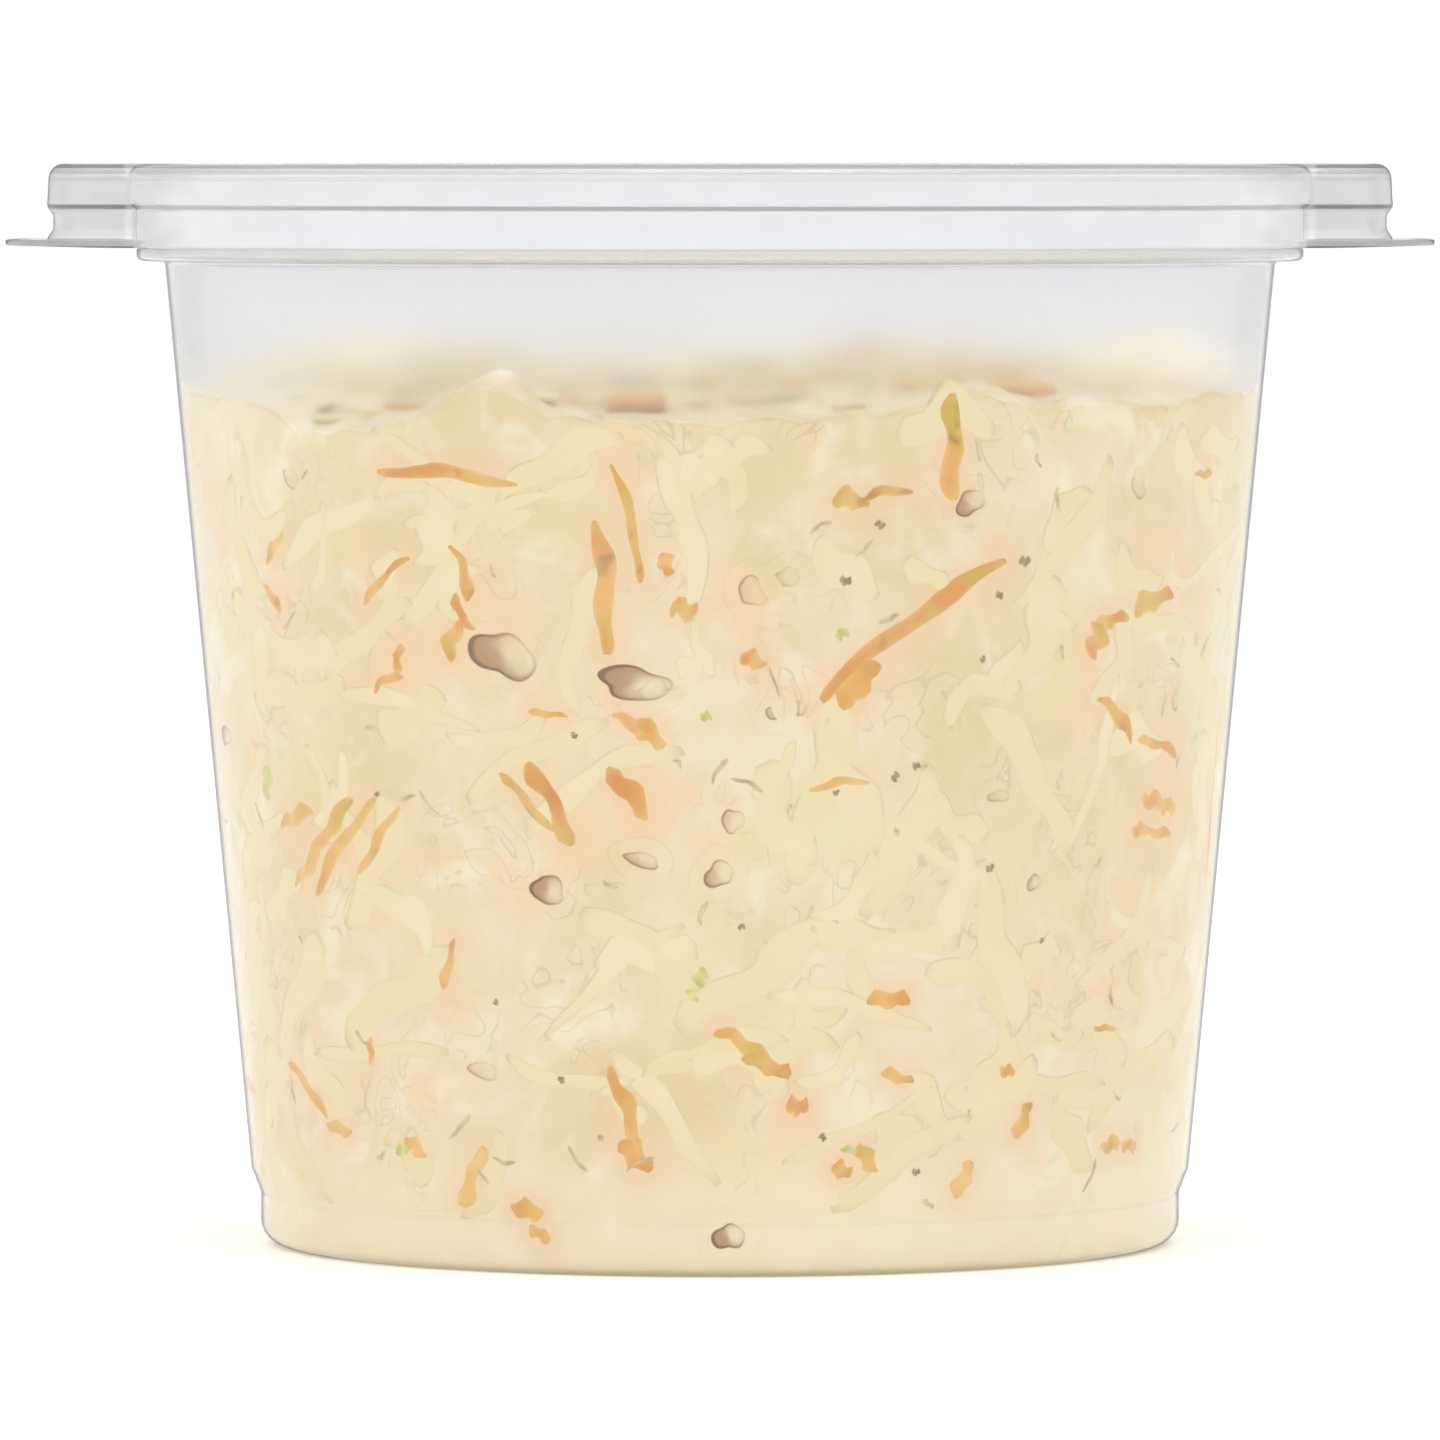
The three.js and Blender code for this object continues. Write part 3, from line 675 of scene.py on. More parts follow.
def loose_shred(pile, draw, middle, size, heading, pitch, curl, veil, stations=10):
    """A curved strip that lies free, of a length, width and thickness. False if it doesn't fit."""
    length, width, thickness = size
    roll = draw.uniform(-0.5, 0.5)
    x, y, z = middle
    step_length = length / (stations - 1)
    direction = heading - curl / 2
    climb = pitch
    points = []
    for _ in range(stations):
        points.append((x, y, z))
        x += step_length * math.cos(direction) * math.cos(climb)
        y += step_length * math.sin(direction) * math.cos(climb)
        z += step_length * math.sin(climb)
        direction += curl / (stations - 1)
        climb -= 1.3 * pitch / (stations - 1)
    points = np.array(points)
    points += np.array(middle) - points.mean(axis=0)
    tangents = np.gradient(points, axis=0)
    tangents /= np.linalg.norm(tangents, axis=1)[:, None]
    rings = []
    for index, (point, tangent) in enumerate(zip(points, tangents)):
        share = index / (stations - 1)
        half = width / 2 * min(1, 6 * min(share, 1 - share) + 0.4)
        side = np.cross((0, 0, 1), tangent)
        side /= max(1e-6, np.linalg.norm(side))
        up = np.cross(tangent, side)
        rolled_side = side * math.cos(roll) + up * math.sin(roll)
        rolled_up = up * math.cos(roll) - side * math.sin(roll)
        ring = [
            point + rolled_side * across * half + rolled_up * out * thickness / 2
            for across, out in LOOSE_SECTION
        ]
        rings.append([tuple(place) for place in ring])
    places = (place for ring in rings for place in ring)
    if any(math.hypot(x, y) > wall_radius(z) - TUB_WALL - WALL_GAP for x, y, z in places):
        return False
    pile.add(stack(rings), tone=draw.random(), veil=veil)
    return True


def scatter_on_top(pile, draw, wanted, shred):
    """Lays loose shreds evenly over the top. shred(draw) gives size, lift, pitch, curl and veil."""
    made = 0
    for count in range(wanted * TOP_TRIES):
        if made == wanted:
            break
        reach = TOP_REACH * math.sqrt((count + 0.5) % wanted / wanted)
        turn = count * GOLDEN_TURN + wanted
        x, y = reach * math.cos(turn), reach * math.sin(turn)
        size, lift, pitch, curl, veil = shred(draw)
        sunk = max(0, (reach - SUNK_BEYOND) / (TOP_REACH - SUNK_BEYOND))
        middle = (x, y, top_height(x, y) + lift - SUNK_BY * sunk)
        heading = draw.uniform(0, math.tau)
        made += loose_shred(pile, draw, middle, size, heading, pitch * (1 - sunk), curl, veil)


def draw_for(salad, scatter):
    """Seeded random numbers for one scatter."""
    return random.Random(salad.seed + DRAWS[scatter])


def room_for(length, tilt, room):
    """How far up or down a tilted shred can go before its end leaves the room that it has."""
    return room - abs(math.sin(math.radians(tilt))) * length / 2


def scattered_specs(draw, count, lengths, widths, veils, bow):
    """Specs of pressed shreds spread round the sides and back of the wall."""
    specs = []
    for index in range(count):
        azimuth = FRONT_EDGE + BACK_SPREAD * ((index * GOLDEN_SHARE) % 1)
        length = draw.choice(lengths)
        tilt = draw.uniform(-85, 85)
        room = room_for(length, tilt, SCATTER_ROOM)
        height = SCATTER_MIDDLE + draw.uniform(-room, room)
        width = draw.uniform(*widths)
        bend = draw.uniform(-bow, bow)
        specs.append((azimuth, height, length, width, tilt, bend, draw.choice(veils)))
    return specs


def carrot_specs(salad):
    """Every carrot shred at the wall: the front ones, then the scatter."""
    draw = draw_for(salad, "carrot places")
    lengths = (2.5, 4, 5, 7, 9, 13, 18)
    veils = (0.1, 0.2, 0.3, 0.5, 0.7)
    return [*FRONT_CARROTS, *scattered_specs(draw, salad.wall_carrots, lengths, (0.8, 2.1), veils, 0.7)]


def pocket_specs(salad):
    """Every air pocket at the wall: the front ones, then a scatter."""
    draw = draw_for(salad, "pockets")
    pockets = list(FRONT_POCKETS)
    for index in range(salad.wall_pockets):
        azimuth = FRONT_EDGE + BACK_SPREAD * ((index * GOLDEN_SHARE + 0.5) % 1)
        half_width = draw.choice((0.7, 0.8, 1.1, 1.4, 2.4))
        half_height = half_width * draw.uniform(0.55, 1)
        depth = min(1.6, 0.5 * half_width + draw.uniform(0, 0.4))
        height = draw.uniform(6, 70)
        tilt = draw.uniform(-60, 60)
        pockets.append((azimuth, height, half_width, half_height, tilt, depth, draw.uniform(0.25, 1)))
    return pockets


def covers(spec, pocket):
    """Whether a pressed shred would lie over an air pocket."""
    azimuth, height, length, width, tilt, bow, _ = spec
    pocket_azimuth, pocket_height, half_width, *_ = pocket
    along, across = wall_offsets(math.radians(pocket_azimuth), pocket_height, azimuth, height, tilt)
    half_length = length / 2 + half_width
    half_across = width / 2 + abs(bow) / 2 + half_width
    return abs(along) < half_length and abs(across - bow / 2) < half_across


def hollow_depth(depth):
    """How deep a hollow of a listed depth is made: it stays in the wall, so its colour stays warm, and
    its shade is painted into that colour.
    """
    return min(INTO_WALL - 0.01, 0.2 + 0.05 * depth)


def pocket_outline(angle, azimuth, height):
    """How far the pocket's edge lies at an angle, as a share of its half width. Each has lobes."""
    outline = 1 + 0.14 * np.sin(2 * angle + azimuth) + 0.1 * np.sin(3 * angle + height)
    return outline + 0.05 * np.sin(5 * angle)


def wall_offsets(turns, heights, azimuth, height, tilt):
    """Distances along and across a tilted mark's own axes, on the wall, in millimetres."""
    round_wall = ((turns - math.radians(azimuth) + math.pi) % math.tau - math.pi) * salad_radius(height)
    up = heights - height
    cosine, sine = math.cos(math.radians(tilt)), math.sin(math.radians(tilt))
    return round_wall * cosine + up * sine, up * cosine - round_wall * sine


def carrot_stain(turns, heights, carrots):
    """How far the carrot shreds near it tint each place on the wall, from 0 to 1."""
    stain = np.zeros(np.shape(heights))
    for azimuth, height, length, width, tilt, bow, veil in carrots:
        along, across = wall_offsets(turns, heights, azimuth, height, tilt)
        past_end = np.maximum(0, np.abs(along) - length / 2)
        gap = np.hypot(past_end, np.maximum(0, np.abs(across - bow * 0.5) - width / 2))
        stain = np.maximum(stain, np.exp(-(gap / STAIN_REACH) ** 2) * (1 - 0.4 * veil))
    return stain


def cream_mesh(pockets, carrots, columns=512, rows=128, top_rows=46):
    """Vertices and faces of the cream, and how far carrot stains each vertex."""
    floor = BASE_RISE + TUB_WALL - INTO_BASE
    base_rings = (
        (0.5 * BASE_RING_RADIUS, floor),
        (BASE_RING_RADIUS - BASE_RAMP, floor),
        (BASE_RING_RADIUS + 1, TUB_WALL - INTO_BASE),
    )
    turns = np.linspace(0, math.tau, columns, endpoint=False)
    vertices = []
    for radius, height in base_rings:
        vertices.extend((radius * math.sin(turn), -radius * math.cos(turn), height) for turn in turns)
    side_bottom = TUB_WALL - INTO_CORNER
    edge = salad_radius(SALAD_LEVEL)
    rim = [top_height(edge * math.sin(turn), -edge * math.cos(turn)) - RIM_DROP for turn in turns]
    share = np.linspace(0, 1, rows)[:, None]
    heights = side_bottom + (np.array(rim)[None, :] - side_bottom) * share
    turn_grid = np.broadcast_to(turns, heights.shape)
    depth = np.zeros(heights.shape)
    for azimuth, height, half_width, half_height, tilt, pocket_depth, _ in pockets:
        along, across = wall_offsets(turn_grid, heights, azimuth, height, tilt)
        angle = np.arctan2(across / half_height, along / half_width)
        outline = pocket_outline(angle, azimuth, height)
        beyond = (np.hypot(along / half_width, across / half_height) - outline) * half_height
        dent = np.clip((POCKET_DENT - beyond) / POCKET_DENT, 0, 1)
        depth = np.maximum(depth, dent * (hollow_depth(pocket_depth) + BEHIND_POCKET))
    stain = carrot_stain(turn_grid, heights, carrots)
    for row in range(rows):
        for column in range(columns):
            vertices.append(at_wall(turns[column], heights[row, column], depth[row, column]))
    for row in range(top_rows):
        reach = (1 - (row + 0.35) / top_rows) * (edge - RIM_ROUNDING)
        rounding = RIM_ROUNDING * max(0, 1 - row / 2)
        for turn in turns:
            x = reach * math.sin(turn)
            y = -reach * math.cos(turn)
            vertices.append((x, y, top_height(x, y) - rounding))
    stains = [0.0] * (len(base_rings) * columns) + stain.ravel().tolist() + [0.0] * (top_rows * columns)
    rings = [vertices[first:first + columns] for first in range(0, len(vertices), columns)]
    return stack(rings), stains


def pocket_lining(pile, pocket, index, carrots, columns=40):
    """The smooth wall of one air pocket: a flush border, a crisp lip and the hollow itself. Its edge
    mark carries the painted shade of the lip and hollow.
    """
    azimuth, height, half_width, half_height, tilt, depth, hollow_shade = pocket
    depth = hollow_depth(depth)
    flush = -0.02 - 0.003 * (index % 5)
    slant = math.radians(tilt)
    radius = salad_radius(height)
    # Share of the outline, how far beyond it, how far behind the salad's side, painted shade.
    profile = (
        (0.2, 0, depth + POCKET_BACK, 0),
        (0.9, 0, depth + POCKET_BACK, 0),
        (1.0, 1.35, POCKET_BACK, 0),
        (1.0, 1.35, flush, 0),
        (1.0, 1.32, flush, 0),
        (1.0, 0.5, flush, 0),
        (1.0, 0.12, flush, 0.05),
        (1.0, 0.0, flush + 0.05, 0.8),
        (0.96, 0, 0.4 * depth, 1),
        (0.9, 0, 0.7 * depth, 0.62),
        (0.78, 0, 0.9 * depth, 0.42),
        (0.5, 0, depth, 0.34),
        (0.2, 0, depth, 0.3),
    )
    rings = []
    marks = []
    places = []
    for share, beyond, inward, mark in profile:
        ring = []
        for column in range(columns):
            angle = math.tau * column / columns
            reach = share * float(pocket_outline(angle, azimuth, height))
            along = (reach * half_width + beyond) * math.cos(angle)
            across = (reach * half_height + beyond) * math.sin(angle)
            round_wall, up = tilted(along, across, slant)
            place = (math.radians(azimuth) + round_wall / radius, max(0.7, height + up))
            ring.append(at_wall(*place, inward))
            places.append(place)
            # Painted light and shade: one side of the pocket is painted lighter, the other darker.
            painted_light_side = 0.75 * math.sin(angle + slant - 1.7 + 0.5 * math.sin(height))
            marks.append(max(0.0, mark * hollow_shade * (1 + painted_light_side)))
        rings.append(ring)
    stains = carrot_stain(*np.array(places).T, carrots)
    pile.add(stack(rings), edge=marks, stain=stains.tolist())


# ---------------------------------------------------------------- shader graphs

class Sock:
    """A node's output that takes part in arithmetic. Each sum or product adds its Math node."""

    def __init__(self, graph, socket):
        self.graph = graph
        self.socket = socket

    def maths(self, operation, *values, clamp=False):
        """A Math node with these values or sockets as its inputs."""
        inputs = dict(enumerate(values))
        return self.graph.node("ShaderNodeMath", {"operation": operation, "use_clamp": clamp}, inputs)

    def __add__(self, other):
        return self.maths("ADD", self, other)

    __radd__ = __add__

    def __sub__(self, other):
        return self.maths("SUBTRACT", self, other)

    def __rsub__(self, other):
        return self.maths("SUBTRACT", other, self)

    def __mul__(self, other):
        return self.maths("MULTIPLY", self, other)

    __rmul__ = __mul__

    def __truediv__(self, other):
        return self.maths("DIVIDE", self, other)

    def __pow__(self, other):
        return self.maths("POWER", self, other)

    def clamped(self):
        """The same, held between 0 and 1."""
        return self.maths("ADD", self, 0, clamp=True)

    def span(self, low, high):
        """0 below low, 1 above high, smooth between."""
        settings = {"interpolation_type": "SMOOTHSTEP"}
        inputs = {"Value": self, "From Min": low, "From Max": high}
        return self.graph.node("ShaderNodeMapRange", settings, inputs)


class Graph:
    """The nodes of one material or world."""

    def __init__(self, owner):
        owner.use_nodes = True
        self.owner = owner
        self.tree = owner.node_tree
        self.tree.nodes.clear()

    def node(self, kind, settings=None, inputs=None, output=0):
        """A new node, as the output of it that is wanted. Inputs are values or other nodes' outputs."""
        made = self.tree.nodes.new(kind)
        for key, value in (settings or {}).items():
            setattr(made, key, value)
        for key, value in (inputs or {}).items():
            socket = made.inputs[key]
            if isinstance(value, Sock):
                self.tree.links.new(value.socket, socket)
            else:
                socket.default_value = value
        return Sock(self, made.outputs[output]) if made.outputs else None

    def mix(self, factor, first, second):
        """A colour mix. first and second are colours or sockets."""
        def colour(value):
            return value if isinstance(value, Sock) else (*value, 1)
        inputs = {0: factor, 6: colour(first), 7: colour(second)}
        return self.node("ShaderNodeMix", {"data_type": "RGBA"}, inputs, output=2)

    def split(self, vector):
        """The X, Y and Z of a vector."""
        return tuple(
            self.node("ShaderNodeSeparateXYZ", None, {0: vector}, output=axis) for axis in "XYZ"
        )

    def place(self):
        """The place on the piece, in millimetres."""
        here = self.node("ShaderNodeTexCoord", None, None, output="Object")
        return self.node("ShaderNodeVectorMath", {"operation": "SCALE"}, {0: here, "Scale": 1 / MM})

    def noise(self, where, size, detail=2.0, roughness=0.5, distortion=0.0):
        """Soft noise from 0 to 1 with lumps of about the given size in millimetres."""
        inputs = {"Vector": where, "Scale": 1 / size, "Detail": detail}
        inputs |= {"Roughness": roughness, "Distortion": distortion}
        return self.node("ShaderNodeTexNoise", None, inputs)

    def attribute(self, name):
        """A value stored at the vertices."""
        return self.node("ShaderNodeAttribute", {"attribute_name": name}, None, output="Fac")

    def bump(self, height, distance, strength):
        """A Normal for fine relief. distance is in millimetres."""
        inputs = {"Height": height, "Distance": distance * MM, "Strength": strength}
        return self.node("ShaderNodeBump", None, inputs)

    def principled(self, **inputs):
        """A Principled shader. Base_Color stands for its input Base Color, and so on."""
        named = {key.replace("_", " "): value for key, value in inputs.items()}
        return self.node("ShaderNodeBsdfPrincipled", None, named)

    def mix_shader(self, factor, first, second):
        return self.node("ShaderNodeMixShader", None, {0: factor, 1: first, 2: second})

    def finish(self, surface, kind="ShaderNodeOutputMaterial"):
        """Links the surface to an output node, and gives the material or world."""
        self.node(kind, None, {"Surface": surface})
        return self.owner


def material_graph(name):
    return Graph(bpy.data.materials.new(name))


def srgb(red, green, blue):
    """Linear colour from 0 to 255 screen values."""
    def channel(value):
        share = value / 255
        return share / 12.92 if share <= 0.04045 else ((share + 0.055) / 1.055) ** 2.4
    return tuple(channel(value) for value in (red, green, blue))


# Painted light: the heap is painted paler over these heights, for the light that falls on its top.
PAINTED_LIGHT_CREST = (SALAD_LEVEL, SALAD_LEVEL + 2.5)   # heights over which the heap turns paler
CREAM_WARM = srgb(220, 197, 142)
CREAM_PALE = srgb(231, 217, 181)
STAIN = srgb(233, 193, 146)
# Painted shade of the air pockets: the hollow, and the darker lip round it.
HOLLOW_SHADE = srgb(166, 122, 62)
HOLLOW_LIP_SHADE = srgb(112, 72, 14)

# Painted shade along the moulded lines and steps of the tub and lid, such as the shadow under a rim or
# ledge: lowest, highest, strength.
CUP_SHADE_LINES = (
    (SHOULDER_HEIGHT - 0.1, SHOULDER_HEIGHT + 0.25, 0.45),
    (FOOT_STEP_LOW - 0.3, FOOT_STEP_LOW + 0.3, 0.06),
)
LID_SHADE_LINES = (
    (SKIRT_BOTTOM - 0.1, SKIRT_BOTTOM + 0.25, 0.25),
    (BEAD_HEIGHT - 0.25, BEAD_HEIGHT + 0.25, 0.4),
    (LID_TOP - 1.6, LID_TOP - 1.1, 0.1),
    (LID_TOP - 1.0, LID_TOP - 0.45, 0.2),
    (LID_TOP - 0.5, LID_TOP - 0.01, 0.42),
)


def clear_plastic(name, tint, haze, roughness, lines, milky):
    """Clear, faintly cloudy polypropylene. Light from lamps and soft light pass straight through it.

    haze is the share of cloudy plastic seen face on. lines are moulded lines where painted shade
    darkens it. milky is where its folded rim starts and how much cloudier that is. Its edges seen
    edge-on, its ears and its tabs are
    painted greyer: painted shade.
    """
    graph = material_graph(name)
    where = graph.place()
    across, back, height = graph.split(where)
    shade = 0
    for low, high, strength in lines:
        shade = (height.span(low, low + 0.12) - height.span(high - 0.12, high)) * strength + shade
    facing = graph.node("ShaderNodeLayerWeight", None, {"Blend": 0.5}, output="Facing")
    radius = (across * across + back * back) ** 0.5
    upright = graph.split(graph.node("ShaderNodeNewGeometry", None, None, output="Normal"))[2]
    level = (upright * upright).span(0.9, 0.99)
    ears = radius.span(52.8, 53.4)
    # Painted shade: greyer where the plastic is seen edge-on, more so on the ears.
    rim = (facing.span(0.84, 0.93) + facing.span(0.7, 0.92) * ears).clamped() * (1 - level)
    # Painted shade along the finger tabs on the ears.
    tab = height.span(TAB_TOP - 1, TAB_TOP - 0.9) - height.span(TAB_TOP, TAB_TOP + 0.1)
    tab = tab * ears * (1 - level)
    milk = height.span(milky[0], milky[0] + 0.3) * milky[1] + ears * 0.15 + tab * 0.2
    uneven = graph.noise(where, 16, 2) + 0.5
    share = (rim * 0.9 + shade + milk + (1 - level * 0.8) * uneven * haze).clamped()
    # How far the cloudy plastic is painted grey: painted shade on edges, moulded lines, ears and tabs.
    grey = (rim + shade * 1.6 + ears * 0.2 + tab * 0.4).clamped()
    glass = graph.principled(
        Base_Color=(*tint, 1), Roughness=roughness, IOR=1.49,
        Transmission_Weight=1.0, Specular_IOR_Level=0.3,
    )
    cloud = graph.principled(
        Base_Color=graph.mix(grey, srgb(222, 223, 226), srgb(102, 101, 100)),
        Roughness=0.3, Specular_IOR_Level=0.2,
    )
    body = graph.mix_shader(share, glass, cloud)
    through = graph.node("ShaderNodeBsdfTransparent", None, {"Color": (0.97, 0.97, 0.97, 1)})
    for kind in ("Is Diffuse Ray", "Is Shadow Ray"):
        soft_light = graph.node("ShaderNodeLightPath", None, None, output=kind)
        body = graph.mix_shader(soft_light, body, through)
    return graph.finish(body)


def cream_material():
    """Creamy dressing, with patches, stains round the carrots, painted shade in the air pockets and
    painted light on the heap's top.
    """
    graph = material_graph("cream dressing")
    where = graph.place()
    broad = graph.noise(where, 28, 2)
    streak = graph.noise(where, 7, 3, 0.6, 1.2)
    fine = graph.noise(where, 1.6, 3)
    base = graph.mix((broad * 0.7 + streak * 0.5 - 0.1).span(0.32, 0.72), CREAM_WARM, CREAM_PALE)
    rosy = graph.mix(graph.noise(where, 11, 3, 0.55).span(0.52, 0.66) * 0.7, base, srgb(233, 200, 152))
    patches = graph.noise(where, 8, 3, 0.6, 0.8).span(0.52, 0.7)
    pale = graph.mix(patches * 0.6, rosy, srgb(237, 227, 198))
    green = graph.mix(graph.noise(where, 13, 2, 0.5).span(0.54, 0.72) * 0.5, pale, srgb(222, 211, 146))
    edges = graph.noise(where, 5.5, 1, 0.4, 2.2) - 0.5
    outline = 1 - (edges * edges / 0.0004).clamped()
    here_and_there = graph.noise(where, 9, 1).span(0.5, 0.64)
    faint = graph.mix(outline * here_and_there * 0.4, green, srgb(176, 164, 112))
    speckled = graph.mix(fine.span(0.64, 0.78) * 0.2, faint, srgb(200, 180, 130))
    height = graph.split(where)[2]
    # Painted light: paler on the heap's top.
    painted_top_light = graph.mix(height.span(*PAINTED_LIGHT_CREST) * 0.9, speckled, srgb(251, 242, 216))
    footed = graph.mix((1 - height.span(3, 15)) * 0.6, painted_top_light, srgb(242, 230, 198))
    stained = graph.mix((graph.attribute("stain") * (streak + 0.35)).clamped() * 0.75, footed, STAIN)
    # Painted shade in the air pockets, read from the edge mark of their linings.
    hollow = graph.attribute("edge")
    shaded = graph.mix(hollow.span(0.05, 0.6) * 0.9, stained, HOLLOW_SHADE)
    lip_shaded = graph.mix(hollow.span(0.68, 1.05) * 0.85, shaded, HOLLOW_LIP_SHADE)
    normal = graph.bump(streak * 0.6 + fine * 0.4, 0.25, 0.35)
    return graph.finish(graph.principled(Base_Color=lip_shaded, Roughness=0.42, Normal=normal))


def carrot_material():
    """Orange carrot with golden and darker spots, under a veil of cream that varies along it."""
    graph = material_graph("carrot")
    where = graph.place()
    grain = graph.noise(where, 1.1, 3, 0.6)
    tone = (graph.attribute("tone") * 0.6 + grain * 0.7 - 0.15).clamped()
    flesh = graph.mix(tone, srgb(204, 122, 8), srgb(222, 160, 30))
    golden = graph.mix(graph.noise(where, 3.2, 2, 0.4).span(0.48, 0.62) * 0.8, flesh, srgb(196, 162, 8))
    spotted = graph.mix(graph.noise(where, 2.2, 2).span(0.56, 0.7) * 0.6, golden, srgb(140, 100, 22))
    smear = graph.noise(where, 1.5, 2)
    veil = (graph.attribute("veil") + (smear - 0.5) * 0.7).clamped()
    coated = graph.mix(veil * 0.88, spotted, srgb(234, 192, 114))
    normal = graph.bump(grain, 0.12, 0.4)
    return graph.finish(graph.principled(Base_Color=coated, Roughness=0.4, Normal=normal))


def cabbage_material():
    """Pale cabbage coated in dressing, painted paler on the heap's top as painted light, with faint
    darker outlines of painted shade.
    """
    graph = material_graph("cabbage")
    where = graph.place()
    grain = graph.noise(where, 2.4, 3, 0.6)
    tone = (graph.attribute("tone") * 0.7 + grain * 0.5 - 0.1).clamped()
    flesh = graph.mix(tone, srgb(224, 207, 148), srgb(235, 223, 184))
    coated = graph.mix(graph.attribute("veil") * 0.5 + 0.4, flesh, srgb(228, 209, 160))
    # Painted light: paler on the heap's top.
    painted_top_light = graph.mix(graph.split(where)[2].span(*PAINTED_LIGHT_CREST) * 0.7, coated, srgb(250, 240, 210))
    # Painted shade along the shred's edges, stronger on one side.
    edge = graph.attribute("edge").span(0.55, 0.95) * graph.noise(where, 4, 1).span(0.4, 0.62)
    painted_outline_shade = graph.mix(edge * 0.42, painted_top_light, srgb(172, 162, 110))
    normal = graph.bump(grain, 0.12, 0.4)
    return graph.finish(graph.principled(Base_Color=painted_outline_shade, Roughness=0.38, Normal=normal))


def green_material():
    """Green flakes, partly veiled."""
    graph = material_graph("green flakes")
    where = graph.place()
    grain = graph.noise(where, 0.8, 3, 0.6)
    tone = (graph.attribute("tone") * 0.6 + grain * 0.6 - 0.1).clamped()
    flesh = graph.mix(tone, srgb(166, 170, 62), srgb(208, 204, 104))
    coated = graph.mix((graph.attribute("veil") * 0.9).clamped(), flesh, srgb(230, 220, 160))
    normal = graph.bump(grain, 0.1, 0.4)
    return graph.finish(graph.principled(Base_Color=coated, Roughness=0.4, Normal=normal))


def speck_material():
    """Brown-grey specks that fade into the cream at their edges."""
    graph = material_graph("seed and pepper specks")
    where = graph.place()
    grain = graph.noise(where, 0.4, 2)
    colour = graph.mix(grain, srgb(112, 92, 40), srgb(156, 136, 80))
    coated = graph.mix(graph.attribute("veil") * 0.9, colour, srgb(222, 200, 150))
    haloed = graph.mix(graph.attribute("edge").span(0.3, 0.9) * 0.7, coated, srgb(212, 194, 144))
    return graph.finish(graph.principled(Base_Color=haloed, Roughness=0.5))


def floor_material():
    """A white floor, with a little light of its own so that it stays white."""
    graph = material_graph("pale studio floor")
    mottle = graph.noise(graph.place(), 400, 2)
    colour = graph.mix(mottle * 0.25, srgb(255, 255, 255), srgb(252, 252, 252))
    return graph.finish(graph.principled(
        Base_Color=colour, Roughness=0.7, Emission_Color=(1, 1, 1, 1), Emission_Strength=0.08,
    ))


def surroundings(strength, flag_depth):
    """White all round, with a soft dark flag behind the tub on each side that draws its edges."""
    graph = Graph(bpy.data.worlds.new("studio surroundings"))
    x, y, z = graph.split(graph.node("ShaderNodeTexCoord", None, None, output="Generated"))
    level = (x * x + y * y + 0.0001) ** 0.5
    aside = x.maths("ABSOLUTE", x) / level
    flag = aside.span(0.2, 0.42) * (1 - aside.span(0.72, 0.95))
    flag = flag * y.span(0, 0.2) * (1 - z.span(0.45, 0.8))
    colour = graph.mix(flag * flag_depth, (1, 1, 1), (0.02, 0.02, 0.02))
    background = graph.node("ShaderNodeBackground", None, {"Color": colour, "Strength": strength})
    return graph.finish(background, "ShaderNodeOutputWorld")


# ---------------------------------------------------------------- settings

def count_setting(name, description, default):
    """A setting for a number of things."""
    return bpy.props.IntProperty(name=name, description=description, default=default, min=0)


def share_setting(name, description, default):
    """A setting from 0 to 1."""
    return bpy.props.FloatProperty(name=name, description=description, default=default, min=0, max=1)


def strength_setting(name, description, default):
    """A setting for the strength of a light."""
    return bpy.props.FloatProperty(name=name, description=description, default=default, min=0)


def length_setting(name, description, default):
    """A setting in metres."""
    return bpy.props.FloatProperty(name=name, description=description, default=default, unit="LENGTH")


def colour_setting(name, description, default):
    """A setting for a colour."""
    return bpy.props.FloatVectorProperty(
        name=name, description=description, default=default, subtype="COLOR")


class SaladSettings(bpy.types.PropertyGroup):
    """How much of each kind of shred the salad holds."""

    seed: bpy.props.IntProperty(name="Seed", description="Seed of the salad's scatter", default=20417)
    wall_carrots: count_setting("Wall carrots", "Carrot shreds round the sides and back", 80)
    wall_cabbage: count_setting("Wall cabbage", "Cabbage shreds against the wall", 300)
    wall_pockets: count_setting("Wall air pockets", "Air pockets round the sides and back", 34)
    wall_greens: count_setting("Wall greens", "Green flakes round the sides and back", 26)
    wall_specks: count_setting("Wall specks", "Dark specks round the sides and back", 46)
    wall_slivers: count_setting("Wall slivers", "Thin dark slivers all round the wall", 120)
    top_carrots: count_setting("Top carrots", "Carrot shreds on the top", 60)
    top_cabbage: count_setting("Top cabbage", "Cabbage shreds on the top", 420)
    top_greens: count_setting("Top greens", "Green flakes on the top", 24)


class PlasticSettings(bpy.types.PropertyGroup):
    """The clear plastic of the tub and lid."""

    cup_tint: colour_setting("Tub tint", "Light the tub's wall lets through", (0.885, 0.898, 0.922))
    lid_tint: colour_setting("Lid tint", "Light the lid's wall lets through", (0.96, 0.96, 0.96))
    cup_haze: share_setting("Tub haze", "Share of cloudy plastic in the tub seen face on", 0.06)
    lid_haze: share_setting("Lid haze", "Share of cloudy plastic in the lid seen face on", 0.45)
    cup_blur: share_setting("Tub blur", "Roughness of the tub's wall", 0.2)
    lid_blur: share_setting("Lid blur", "Roughness of the lid", 0.1)


